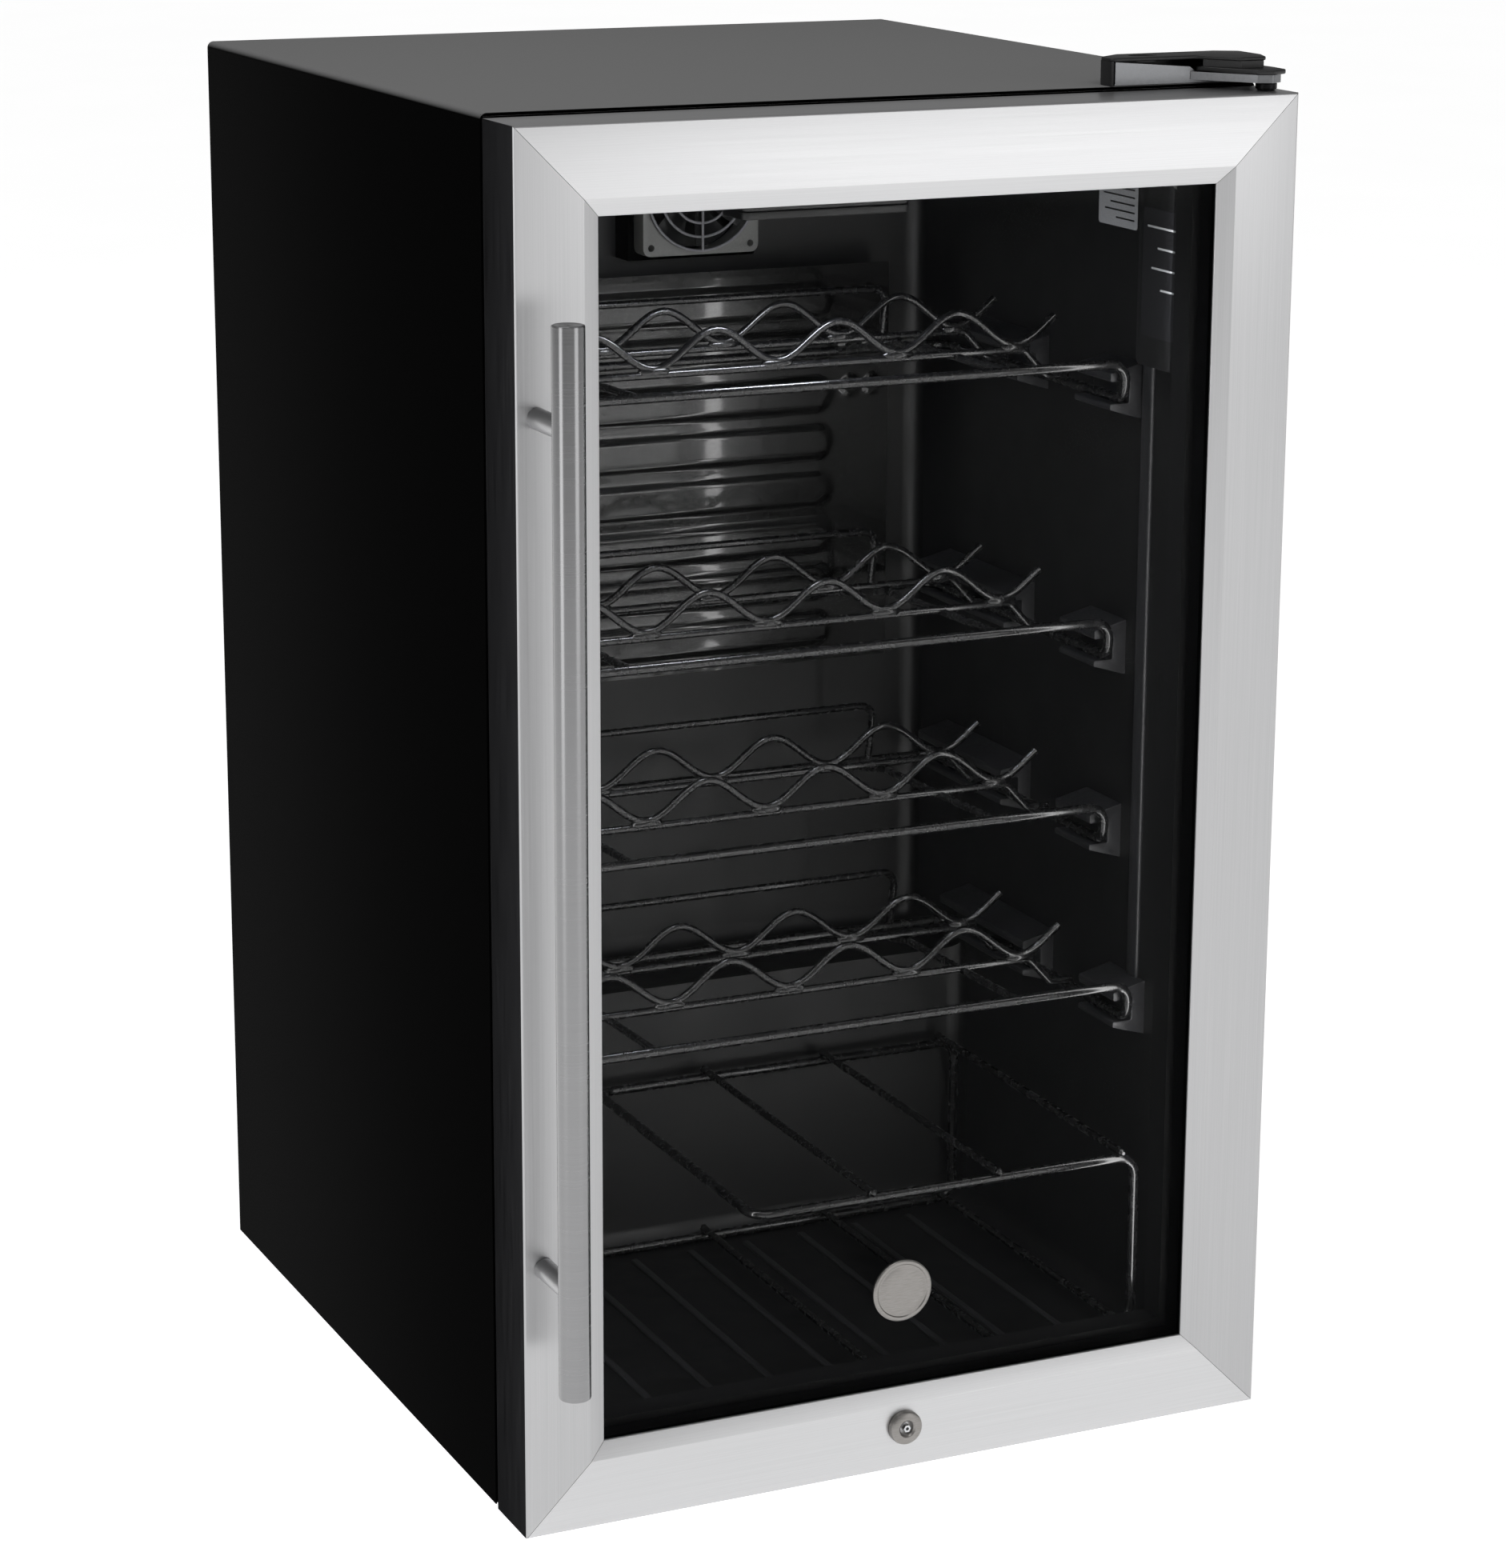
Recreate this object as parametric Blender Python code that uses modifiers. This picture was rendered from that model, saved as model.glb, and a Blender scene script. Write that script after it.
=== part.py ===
"""Free-standing wine cooler: a steel cabinet with a glazed, right-hinged stainless door.

Metres, +Z up, the door faces -Y.  The origin is on the floor under the middle of the
whole cooler.  Most pieces are placed by "depth", measured back from the door's face,
and by "height", measured up from the door's bottom edge.
"""
import math

import bmesh
import bpy
from mathutils import Matrix, Vector

# Driving dimensions
WIDTH = 0.480
DOOR_HEIGHT = 0.800
DOOR_DEPTH = 0.0448
CABINET_FRONT = 0.048
CABINET_BACK = 0.526
CABINET_BOTTOM = 0.0014
CABINET_TOP = 0.8025
FOOT_HEIGHT = 0.018
HANDLE_RADIUS = 0.009
HANDLE_STANDOFF = 0.045
GAP = 0.0003

# Where the door's face and bottom edge lie in the part's own frame
REACH = HANDLE_STANDOFF + HANDLE_RADIUS
FRONT_Y = REACH - (REACH + CABINET_BACK) / 2
HALF = WIDTH / 2

# Sheet metal and the liner
SHEET = 0.001
CORNER = 0.004
TUCK = 0.001
INSIDE = HALF - SHEET - TUCK
UNDER_ROOF = CABINET_TOP - SHEET - TUCK
LINER_HALF = 0.212
LINER_FLOOR = 0.024
LINER_CEILING = 0.772
LINER_BACK = 0.415
LINER_SKIN = 0.0015
HUMP_FRONT = 0.338
HUMP_TOP = 0.200
NICHE_FRONT = 0.370
NICHE_TOP = 0.170
REAR_WALL = 0.4608
PAN = 0.0012
MOUTH_CLEARANCE = 0.0005

# Feet and the cord's exit: name, x, depth; and x, depth, height
FOOT_X = 0.180
FEET = (("foot_front_left", -FOOT_X, 0.095), ("foot_front_right", FOOT_X, 0.095),
        ("foot_rear_left", -FOOT_X, 0.490), ("foot_rear_right", FOOT_X, 0.490))
PAN_BACK = 0.5240
GLAND = (-0.190, PAN_BACK - PAN / 2, 0.018)

# Door frame
RAIL_WIDTH = 0.050
RAIL_BEVEL = 0.010
RAIL_STEP = 0.0045
RAIL_SHEET = 0.0012
GLASS = 0.004
GLASS_FRONT = RAIL_STEP + RAIL_SHEET + GAP
PANE_GAP = 0.012
PANE_EDGE = 0.040
VIEW_EDGE = 0.052
SPACER_EDGE = 0.0495
GASKET_WIDTH = 0.016
GASKET_OUT = HALF - 0.010
GASKET_IN = GASKET_OUT - GASKET_WIDTH
GASKET_LOW = 0.0045
GASKET_HIGH = DOOR_HEIGHT - 0.010
GASKET_FRONT = 0.0402

# Handle: the bar's ends and its posts' heights
HANDLE_X = -0.2280
HANDLE_ENDS = (0.1025, 0.7015)
POST_RADIUS = 0.0060
POSTS = (("handle_post_lower", 0.163), ("handle_post_upper", 0.645))

# Hinge and lock axes
HINGE_X = 0.229
HINGE_DEPTH = 0.018
PIN_RADIUS = 0.003
PIN_HOLE = 0.0034
BUSH_HOLE = 0.0055
LOCK_HEIGHT = 0.026
LOCK_HOLE = 0.0077
PLUG_RADIUS = 0.0040
CAM_DEPTH = 0.0341
CAM_SHEET = 0.0020

# Shelves: height of the front bar, depth of the front bar
SHELVES = ((0.630, 0.113), (0.469, 0.125), (0.352, 0.125), (0.247, 0.090))
WIRE = 0.0030
THIN_WIRE = 0.0024
RUNNER_X = 0.1965
RUNNER_DROP = 0.022
SHELF_LENGTH = 0.235
BOTTLE_PITCH = 0.080
TROUGHS = [BOTTLE_PITCH * row_place for row_place in (-2, -1, 0, 1, 2)]
WAVE_RISE = 0.021
WAVE_END = 0.187

# Moulded rails and ribs on the liner's walls: depths from the front bar; x, depth, height
RAIL_BLOCKS = ((0.006, 0.050), (0.123, 0.240))
RIB = ((0.2098, 0.2130), (0.104, 0.116), (0.245, 0.638))

# Fan and controls
FAN_X = 0.037
FAN_HEIGHT = 0.711
FAN_FRONT = 0.379
FAN_SIZE = 0.080
FAN_BORE = 0.038
CONTROL_FACE = 0.198
BUTTON_HEIGHT = 0.7440
BUTTON_RADIUS = 0.0040
BUTTONS = (("button_up", 0.062), ("button_down", 0.077), ("button_light", 0.092))

# Compressor: x, depth; and the condenser's hairpin tube
COMPRESSOR = (0.080, 0.4450)
COIL_DEPTH = 0.485
COIL_REACH = 0.190
COIL_RUNS = 10
COIL_RADIUS = 0.0026

PARTS = "wine_cooler"
HELPERS = "cutters"


# ---------------------------------------------------------------- scene helpers

def clear_scene():
    for obj in list(bpy.data.objects):
        bpy.data.objects.remove(obj, do_unlink=True)
    for name in (PARTS, HELPERS):
        collection = bpy.data.collections.new(name)
        bpy.context.scene.collection.children.link(collection)


def collection(name):
    return bpy.data.collections[name]


def place(x, depth, height):
    """The point in the part's frame for a depth and a height on the cooler."""
    return Vector((x, FRONT_Y + depth, FOOT_HEIGHT + height))


def finish(name, colour, roughness, metallic=0.0, alpha=1.0):
    """A Principled material."""
    material = bpy.data.materials.new(name)
    material.use_nodes = True
    shader = material.node_tree.nodes["Principled BSDF"]
    shader.inputs["Base Color"].default_value = (*colour, 1.0)
    shader.inputs["Roughness"].default_value = roughness
    shader.inputs["Metallic"].default_value = metallic
    shader.inputs["Alpha"].default_value = alpha
    return material


def add(name, data, material=None, where=PARTS):
    obj = bpy.data.objects.new(name, data)
    collection(where).objects.link(obj)
    if material is not None:
        obj.data.materials.clear()
        obj.data.materials.append(material)
    return obj


def smooth(obj, angle=35):
    obj.data.shade_smooth()
    obj.data.set_sharp_from_angle(angle=math.radians(angle))
    return obj


def block(name, x, depth, height, material=None, bevel=0.0):
    """A box from its low and high values on each axis."""
    low = place(x[0], depth[0], height[0])
    high = place(x[1], depth[1], height[1])
    size = high - low
    bm = bmesh.new()
    bmesh.ops.create_cube(bm, size=1.0)
    bmesh.ops.scale(bm, vec=size, verts=bm.verts)
    mesh = bpy.data.meshes.new(name)
    bm.to_mesh(mesh)
    bm.free()
    obj = add(name, mesh, material)
    obj.location = (low + high) / 2
    if bevel:
        modifier = obj.modifiers.new("edges", "BEVEL")
        modifier.width = bevel
        modifier.segments = 1
    return obj


TURN = {
    "Z": Matrix.Identity(4),
    "Y": Matrix.Rotation(math.radians(90), 4, "X"),
    "X": Matrix.Rotation(math.radians(90), 4, "Y"),
}


def rod(name, centre, radius, length, axis, material=None, segments=24):
    """A cylinder about its centre, along one axis of the part's frame."""
    bm = bmesh.new()
    bmesh.ops.create_cone(bm, cap_ends=True, segments=segments,
                          radius1=radius, radius2=radius, depth=length)
    mesh = bpy.data.meshes.new(name)
    bm.to_mesh(mesh)
    bm.free()
    obj = add(name, mesh, material)
    obj.matrix_world = Matrix.Translation(place(*centre)) @ TURN[axis]
    return smooth(obj)


def turned(name, centre, profile, material, steps=24, axis="Z", closed=False):
    """A turned piece: a profile of (radius, along) points, top to bottom, and a Screw."""
    mesh = bpy.data.meshes.new(name)
    points = [(radius, 0.0, along) for radius, along in profile]
    edges = [(i, i + 1) for i in range(len(points) - 1)]
    if closed:
        edges.append((len(points) - 1, 0))
    mesh.from_pydata(points, edges, [])
    obj = add(name, mesh, material)
    obj.matrix_world = Matrix.Translation(place(*centre)) @ TURN[axis]
    screw = obj.modifiers.new("turn", "SCREW")
    screw.steps = steps
    screw.render_steps = steps
    screw.use_merge_vertices = True
    screw.merge_threshold = 0.00001
    screw.use_smooth_shade = True
    return obj


def bend(points, radius, steps, cyclic=False):
    """The points with each corner replaced by an arc."""
    points = [Vector(p) for p in points]
    count = len(points)
    out = []
    for i, corner in enumerate(points):
        if not cyclic and i in (0, count - 1):
            out.append(corner)
            continue
        before = points[i - 1] - corner
        after = points[(i + 1) % count] - corner
        reach = min(before.length, after.length) * 0.49
        before.normalize()
        after.normalize()
        half = before.angle(after) / 2
        if half > math.radians(88) or radius <= 0:
            out.append(corner)
            continue
        tangent = min(radius / math.tan(half), reach)
        arc_radius = tangent * math.tan(half)
        middle = (before + after).normalized() * (arc_radius / math.sin(half))
        start = before * tangent - middle
        stop = after * tangent - middle
        for step in range(steps + 1):
            spoke = start.slerp(stop, step / steps)
            out.append(corner + middle + spoke.normalized() * arc_radius)
    return out


def tube(name, points, radius, material=None, cyclic=False, sides=1):
    """A wire along points given as (x, depth, height); sides is the bevel's resolution."""
    curve = bpy.data.curves.new(name, "CURVE")
    curve.dimensions = "3D"
    curve.bevel_depth = radius
    curve.bevel_resolution = sides
    curve.render_resolution_u = 0
    curve.use_fill_caps = True
    spline = curve.splines.new("POLY")
    spline.points.add(len(points) - 1)
    for target, point in zip(spline.points, points):
        target.co = (*place(*point), 1.0)
    spline.use_cyclic_u = cyclic
    return add(name, curve, material)


PLANE = {
    "XY": Matrix.Identity(4),
    "XZ": Matrix(((1, 0, 0, 0), (0, 0, -1, 0), (0, 1, 0, 0), (0, 0, 0, 1))),
    "YZ": Matrix(((0, 0, 1, 0), (1, 0, 0, 0), (0, 1, 0, 0), (0, 0, 0, 1))),
}


def plate(name, outlines, plane, low, high, material=None):
    """A flat piece: closed outlines in one plane, solid between low and high across it."""
    curve = bpy.data.curves.new(name, "CURVE")
    curve.dimensions = "2D"
    curve.fill_mode = "BOTH"
    curve.extrude = (high - low) / 2
    curve.render_resolution_u = 0
    for outline in outlines:
        spline = curve.splines.new("POLY")
        spline.points.add(len(outline) - 1)
        for target, point in zip(spline.points, outline):
            target.co = (point[0], point[1], 0.0, 1.0)
        spline.use_cyclic_u = True
    obj = add(name, curve, material)
    middle = (low + high) / 2
    offset = {"XY": (0, 0, middle), "XZ": (0, middle, 0), "YZ": (middle, 0, 0)}[plane]
    obj.matrix_world = Matrix.Translation(place(*offset)) @ PLANE[plane]
    return obj


def rectangle(x, y):
    return [(x[0], y[0]), (x[1], y[0]), (x[1], y[1]), (x[0], y[1])]


def circle(centre, radius, steps=24):
    return [(centre[0] + radius * math.cos(math.tau * i / steps),
             centre[1] + radius * math.sin(math.tau * i / steps)) for i in range(steps)]


def softened(outline, radius, steps=3):
    """A flat outline with its corners rounded."""
    return [(p.x, p.y) for p in bend([(x, y, 0) for x, y in outline], radius, steps, True)]


def as_mesh(obj):
    """A curve object made a closed mesh object of the same name and place."""
    bpy.context.view_layer.update()
    evaluated = obj.evaluated_get(bpy.context.evaluated_depsgraph_get())
    mesh = bpy.data.meshes.new_from_object(evaluated)
    bm = bmesh.new()
    bm.from_mesh(mesh)
    bmesh.ops.remove_doubles(bm, verts=bm.verts, dist=0.00001)
    bmesh.ops.dissolve_limit(bm, angle_limit=0.001, verts=bm.verts, edges=bm.edges)
    bmesh.ops.recalc_face_normals(bm, faces=bm.faces)
    bm.to_mesh(mesh)
    bm.free()
    name = obj.name
    where = obj.users_collection[0].name
    place_in_world = obj.matrix_world.copy()
    bpy.data.objects.remove(obj, do_unlink=True)
    made = add(name, mesh, None, where)
    made.matrix_world = place_in_world
    return made


def as_cutter(obj):
    if obj.type == "CURVE":
        obj = as_mesh(obj)
    for owner in list(obj.users_collection):
        owner.objects.unlink(obj)
    collection(HELPERS).objects.link(obj)
    obj.hide_render = True
    obj.display_type = "WIRE"
    return obj


def cut(obj, tool):
    modifier = obj.modifiers.new("cut", "BOOLEAN")
    modifier.operation = "DIFFERENCE"
    modifier.object = as_cutter(tool)


def join(obj, tool):
    modifier = obj.modifiers.new("join", "BOOLEAN")
    modifier.operation = "UNION"
    modifier.object = as_cutter(tool)


def apply_all(obj):
    """Bake the modifiers, so that copies can share the mesh."""
    bpy.context.view_layer.update()
    evaluated = obj.evaluated_get(bpy.context.evaluated_depsgraph_get())
    mesh = bpy.data.meshes.new_from_object(evaluated)
    obj.modifiers.clear()
    obj.data = mesh
    return obj


def hang_on_axis(name, axis_point, objects):
    """An empty on a joint's axis, which carries the pieces that move about it."""
    pivot = bpy.data.objects.new(name, None)
    collection(PARTS).objects.link(pivot)
    pivot.location = axis_point
    bpy.context.view_layer.update()
    for obj in objects:
        obj.parent = pivot
        obj.matrix_parent_inverse = pivot.matrix_world.inverted()


# ---------------------------------------------------------------- cabinet

def folded_sheet(name, chain, plane, low, high, material):
    """Open sheet metal: a chain of points drawn out between low and high, then thickened."""
    bm = bmesh.new()
    verts = [bm.verts.new((x, y, (low - high) / 2)) for x, y in chain]
    edges = [bm.edges.new(pair) for pair in zip(verts, verts[1:])]
    drawn = bmesh.ops.extrude_edge_only(bm, edges=edges)["geom"]
    moved = [item for item in drawn if isinstance(item, bmesh.types.BMVert)]
    bmesh.ops.translate(bm, vec=(0, 0, high - low), verts=moved)
    mesh = bpy.data.meshes.new(name)
    bm.to_mesh(mesh)
    bm.free()
    obj = add(name, mesh, material)
    middle = (low + high) / 2
    offset = {"XZ": (0, middle, 0), "YZ": (middle, 0, 0)}[plane]
    obj.matrix_world = Matrix.Translation(place(*offset)) @ PLANE[plane]
    solid = obj.modifiers.new("sheet", "SOLIDIFY")
    solid.thickness = SHEET
    solid.offset = 1.0
    solid.use_even_offset = True
    return obj


def make_wrapper(paint):
    corners = [(HALF, CABINET_BOTTOM), (HALF, CABINET_TOP),
               (-HALF, CABINET_TOP), (-HALF, CABINET_BOTTOM)]
    chain = [(p.x, p.y) for p in bend([(x, z, 0) for x, z in corners], CORNER, 3)]
    folded_sheet("cabinet_wrapper", chain, "XZ", CABINET_FRONT, CABINET_BACK, paint)


def make_front_flange(paint):
    opening = LINER_HALF + MOUTH_CLEARANCE
    front = CABINET_FRONT + 0.0002
    outer = rectangle((-INSIDE, INSIDE), (CABINET_BOTTOM + 0.0004, UNDER_ROOF))
    inner = rectangle((-opening, opening),
                      (LINER_FLOOR - MOUTH_CLEARANCE, LINER_CEILING + MOUTH_CLEARANCE))
    plate("front_flange", [outer, inner], "XZ", front, front + SHEET, paint)


def make_rear_and_niche(paint):
    block("rear_panel", (-INSIDE, INSIDE), (REAR_WALL, REAR_WALL + SHEET),
          (NICHE_TOP, UNDER_ROOF), paint)
    chain = [(REAR_WALL - GAP, NICHE_TOP - GAP), (NICHE_FRONT + GAP, NICHE_TOP - GAP),
             (NICHE_FRONT + GAP, CABINET_BOTTOM + 0.0018)]
    folded_sheet("niche_panel", chain, "YZ", -INSIDE, INSIDE, paint)


def make_base_pan(paint):
    bottom = CABINET_BOTTOM + 0.0002
    front = CABINET_FRONT + SHEET + 0.0005
    pan = block("base_pan", (-INSIDE, INSIDE), (front, PAN_BACK), (bottom, bottom + PAN), paint)
    join(pan, block("pan_lip", (-INSIDE, INSIDE), (PAN_BACK - PAN, PAN_BACK),
                    (bottom + PAN / 2, 0.032)))
    for name, x, depth in FEET:
        cut(pan, rod(name + "_hole", (x, depth, bottom), 0.005, 0.02, "Z", segments=12))
    cut(pan, rod("gland_hole", GLAND, 0.0062, 0.02, "Y", segments=16))


def liner_outline(front, grow):
    """The inside space seen from the side, grown outwards by a wall."""
    return [(front, LINER_FLOOR - grow),
            (HUMP_FRONT + grow, LINER_FLOOR - grow),
            (HUMP_FRONT + grow, HUMP_TOP - grow),
            (LINER_BACK + grow, HUMP_TOP - grow),
            (LINER_BACK + grow, LINER_CEILING + grow),
            (front, LINER_CEILING + grow)]


def make_foam(foam_finish):
    front = CABINET_FRONT + SHEET + 0.0005
    foam = block("foam_insulation", (-INSIDE, INSIDE), (front, REAR_WALL - GAP),
                 (CABINET_BOTTOM + 0.0017, UNDER_ROOF), foam_finish)
    wall = LINER_SKIN + GAP
    cut(foam, plate("liner_space", [liner_outline(CABINET_FRONT - 0.01, wall)], "YZ",
                    -LINER_HALF - wall, LINER_HALF + wall))
    cut(foam, block("niche_space", (-HALF, HALF), (NICHE_FRONT, 0.6), (-0.01, NICHE_TOP)))
    for name, x, depth in FEET[:2]:
        cut(foam, rod(name + "_well", (x, depth, 0.0), 0.0065, 0.028, "Z", segments=12))


def rail_profile(side, height):
    """The C shaped channel that a shelf's runner slides in, seen from the front."""
    shape = [(0.1900, -0.0290), (0.2130, -0.0360), (0.2130, -0.0010), (0.1900, -0.0065),
             (0.1900, -0.0120), (0.2030, -0.0120), (0.2030, -0.0254), (0.1900, -0.0254)]
    return [(side * x, height + z) for x, z in shape]


def make_liner(plastic):
    front = CABINET_FRONT + 0.0015
    liner = as_mesh(plate("inner_liner", [liner_outline(front, 0.0)], "YZ",
                          -LINER_HALF, LINER_HALF))
    liner.data.materials.append(plastic)
    bm = bmesh.new()
    bm.from_mesh(liner.data)
    mouth = [face for face in bm.faces
             if all(abs(v.co.x - front) < 0.0001 for v in face.verts)]
    bmesh.ops.delete(bm, geom=mouth, context="FACES")
    bm.to_mesh(liner.data)
    bm.free()
    skin = liner.modifiers.new("skin", "SOLIDIFY")
    skin.thickness = LINER_SKIN
    skin.offset = 1.0
    skin.use_even_offset = True
    for number, (height, bar_depth) in enumerate(SHELVES, start=1):
        for side in (-1, 1):
            for start, stop in RAIL_BLOCKS:
                rail = plate(f"rail_{number}_{side}_{start}", [rail_profile(side, height)],
                             "XZ", bar_depth + start, bar_depth + stop)
                join(liner, rail)
    for side in (-1, 1):
        span = sorted((side * RIB[0][0], side * RIB[0][1]))
        join(liner, block(f"rib_{side}", span, RIB[1], RIB[2]))


def make_foot(name, x, depth, plastic):
    profile = [(0.0, 0.030), (0.004, 0.030), (0.004, 0.0150), (0.009, 0.0148), (0.009, 0.0104),
               (0.0165, 0.0100), (0.0172, 0.0020), (0.0150, 0.0), (0.0, 0.0)]
    foot = turned(name, (x, depth, -FOOT_HEIGHT), profile, plastic, steps=16)
    hang_on_axis(name + "_axis", place(x, depth, -FOOT_HEIGHT), [foot])


# ---------------------------------------------------------------- cooling

def make_evaporator(alloy):
    shape = softened(rectangle((-0.176, 0.176), (0.395, 0.658)), 0.012)
    plate("evaporator_plate", [shape], "XZ", 0.3885, 0.3900, alloy)


def make_fan(frame_finish, rotor_finish, wire_finish):
    x = (FAN_X - FAN_SIZE / 2, FAN_X + FAN_SIZE / 2)
    height = (FAN_HEIGHT - FAN_SIZE / 2, FAN_HEIGHT + FAN_SIZE / 2)
    middle = (FAN_X, FAN_HEIGHT)
    frame = as_mesh(plate("fan_frame", [softened(rectangle(x, height), 0.004, 2),
                                        circle(middle, FAN_BORE, 32)],
                          "XZ", FAN_FRONT, FAN_FRONT + 0.015))
    frame.data.materials.append(frame_finish)
    join(frame, rod("motor_seat", (FAN_X, FAN_FRONT + 0.0135, FAN_HEIGHT), 0.014, 0.003, "Y",
                    segments=16))
    for turn in (45, 165, 285):
        arm = block("motor_arm", (0.010, 0.040), (FAN_FRONT + 0.0121, FAN_FRONT + 0.0149),
                    (-0.002, 0.002))
        swing = Matrix.Rotation(math.radians(turn), 4, "Y")
        from_centre = Matrix.Translation(arm.location - place(0, 0, 0))
        arm.matrix_world = Matrix.Translation(place(FAN_X, 0, FAN_HEIGHT)) @ swing @ from_centre
        join(frame, arm)

    hub = rod("fan_rotor", (FAN_X, FAN_FRONT + 0.0065, FAN_HEIGHT), 0.0135, 0.009, "Y",
              rotor_finish, segments=20)
    for number in range(7):
        blade = block("blade", (0.012, 0.0355), (FAN_FRONT + 0.0058, FAN_FRONT + 0.0072),
                      (-0.0085, 0.0085))
        swing = Matrix.Rotation(math.tau * number / 7, 4, "Y")
        pitch = Matrix.Rotation(math.radians(28), 4, "X")
        centre = place(0.02375, FAN_FRONT + 0.0065, 0) - place(0, 0, 0)
        blade.matrix_world = (Matrix.Translation(place(FAN_X, 0, FAN_HEIGHT)) @ swing
                              @ Matrix.Translation(centre) @ pitch)
        join(hub, blade)
    hang_on_axis("fan_axis", place(FAN_X, FAN_FRONT + 0.0065, FAN_HEIGHT), [hub])

    guard_depth = FAN_FRONT - 0.0024
    rings = []
    for radius in (0.013, 0.0255, 0.0375):
        points = [(px, guard_depth, pz) for px, pz in circle(middle, radius, 16)]
        rings.append(as_mesh(tube(f"guard_ring_{radius}", points, 0.0012, cyclic=True, sides=0)))
    guard = tube("fan_guard", [(FAN_X - 0.0375, guard_depth, FAN_HEIGHT),
                               (FAN_X + 0.0375, guard_depth, FAN_HEIGHT)], 0.0010, sides=0)
    guard = as_mesh(guard)
    guard.data.materials.append(wire_finish)
    join(guard, tube("guard_spoke", [(FAN_X, guard_depth, FAN_HEIGHT - 0.0375),
                                     (FAN_X, guard_depth, FAN_HEIGHT + 0.0375)], 0.0010, sides=0))
    for ring in rings:
        join(guard, ring)


def make_fan_bracket(paint):
    """A bent plate that holds the fan off the liner's back wall."""
    x = (FAN_X - 0.044, FAN_X + 0.044)
    height = (FAN_HEIGHT - 0.044, FAN_HEIGHT + 0.044)
    front = FAN_FRONT + 0.0153
    bracket = as_mesh(plate("fan_bracket", [rectangle(x, height),
                                            circle((FAN_X, FAN_HEIGHT), 0.037, 24)],
                            "XZ", front, front + 0.0012))
    bracket.data.materials.append(paint)
    for low, high in ((x[0], x[0] + 0.0012), (x[1] - 0.0012, x[1])):
        join(bracket, block("bracket_leg", (low, high), (front + 0.0006, LINER_BACK - GAP), height))


def make_compressor(paint, plastic, copper, tray_plastic):
    x, depth = COMPRESSOR
    profile = [(0.0, 0.1420), (0.022, 0.1405), (0.042, 0.1330), (0.054, 0.1180), (0.058, 0.0980),
               (0.058, 0.0840), (0.0610, 0.0835), (0.0610, 0.0790), (0.058, 0.0785),
               (0.058, 0.0420), (0.052, 0.0260), (0.036, 0.0150), (0.0, 0.0120)]
    body = turned("compressor", (x, depth, 0.0), profile, paint, steps=20)
    join(body, block("mounting_plate", (x - 0.075, x + 0.075), (depth - 0.050, depth + 0.050),
                     (0.0130, 0.0160)))
    for side in (-1, 1):
        for end in (-1, 1):
            join(body, rod("mount", (x + side * 0.064, depth + end * 0.040, 0.0088), 0.007,
                           0.0110, "Z", segments=12))
    block("terminal_cover", (x - 0.0900, x - 0.0615), (depth - 0.026, depth + 0.026),
          (0.048, 0.108), plastic, bevel=0.003)
    tray = block("drip_tray", (x - 0.060, x + 0.060), (depth - 0.050, depth + 0.050),
                 (0.1424, 0.1600), tray_plastic)
    cut(tray, block("tray_hollow", (x - 0.058, x + 0.058), (depth - 0.048, depth + 0.048),
                    (0.1445, 0.2)))
    drier = [(0.0, 0.118), (0.0035, 0.118), (0.0035, 0.108), (0.0095, 0.098),
             (0.0095, 0.050), (0.0035, 0.040), (0.0035, 0.030), (0.0, 0.030)]
    turned("filter_drier", (-0.080, COIL_DEPTH, 0.0), drier, copper, steps=16)


def make_pipes(paint, copper):
    """The condenser's hairpin tube on the back, and the suction pipe into the cabinet."""
    depth, reach = COIL_DEPTH, COIL_REACH
    low, high = 0.225, 0.765
    pitch = (high - low) / (COIL_RUNS - 1)
    x, compressor_depth = COMPRESSOR
    points = [(x + 0.0745, depth - 0.005, 0.060), (x + 0.0745, depth, 0.100),
              (0.205, depth, 0.160), (0.205, depth, high)]
    for run in range(COIL_RUNS):
        height = high - run * pitch
        side = -1 if run % 2 == 0 else 1
        if run:
            points.append((-side * reach, depth, height))
        points.append((side * reach, depth, height))
    points += [(reach, depth, 0.195), (-0.080, depth, 0.195), (-0.080, depth, 0.1183)]
    tube("condenser_coil", bend(points, 0.018, 2), COIL_RADIUS, paint)
    suction = bend([(x + 0.052, compressor_depth - 0.0385, 0.060),
                    (x + 0.075, compressor_depth - 0.052, 0.060),
                    (x + 0.075, compressor_depth - 0.052, NICHE_TOP - 0.0018)], 0.012, 4)
    tube("suction_pipe", suction, 0.0032, copper)


def make_cord_gland(rubber):
    profile = [(0.0035, 0.0018), (0.0090, 0.0018), (0.0090, 0.0003), (0.0058, 0.0003),
               (0.0058, -0.0050), (0.0035, -0.0050)]
    turned("cord_gland", (GLAND[0], 0.5240, GLAND[2]), [(r, -a) for r, a in reversed(profile)],
           rubber, steps=16, axis="Y", closed=True)


# ---------------------------------------------------------------- light and controls

def make_light(plastic, lens_finish):
    half, top = 0.0535, LINER_CEILING - GAP
    housing = block("light_housing", (-half, half), (0.118, 0.150), (0.7275, top), plastic,
                    bevel=0.002)
    cut(housing, block("lens_seat", (-half + 0.004, half - 0.004), (0.124, 0.160),
                       (0.7200, 0.7320)))
    block("light_lens", (-half + 0.0045, half - 0.0045), (0.1245, 0.1495), (0.7278, 0.7317),
          lens_finish)


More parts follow.
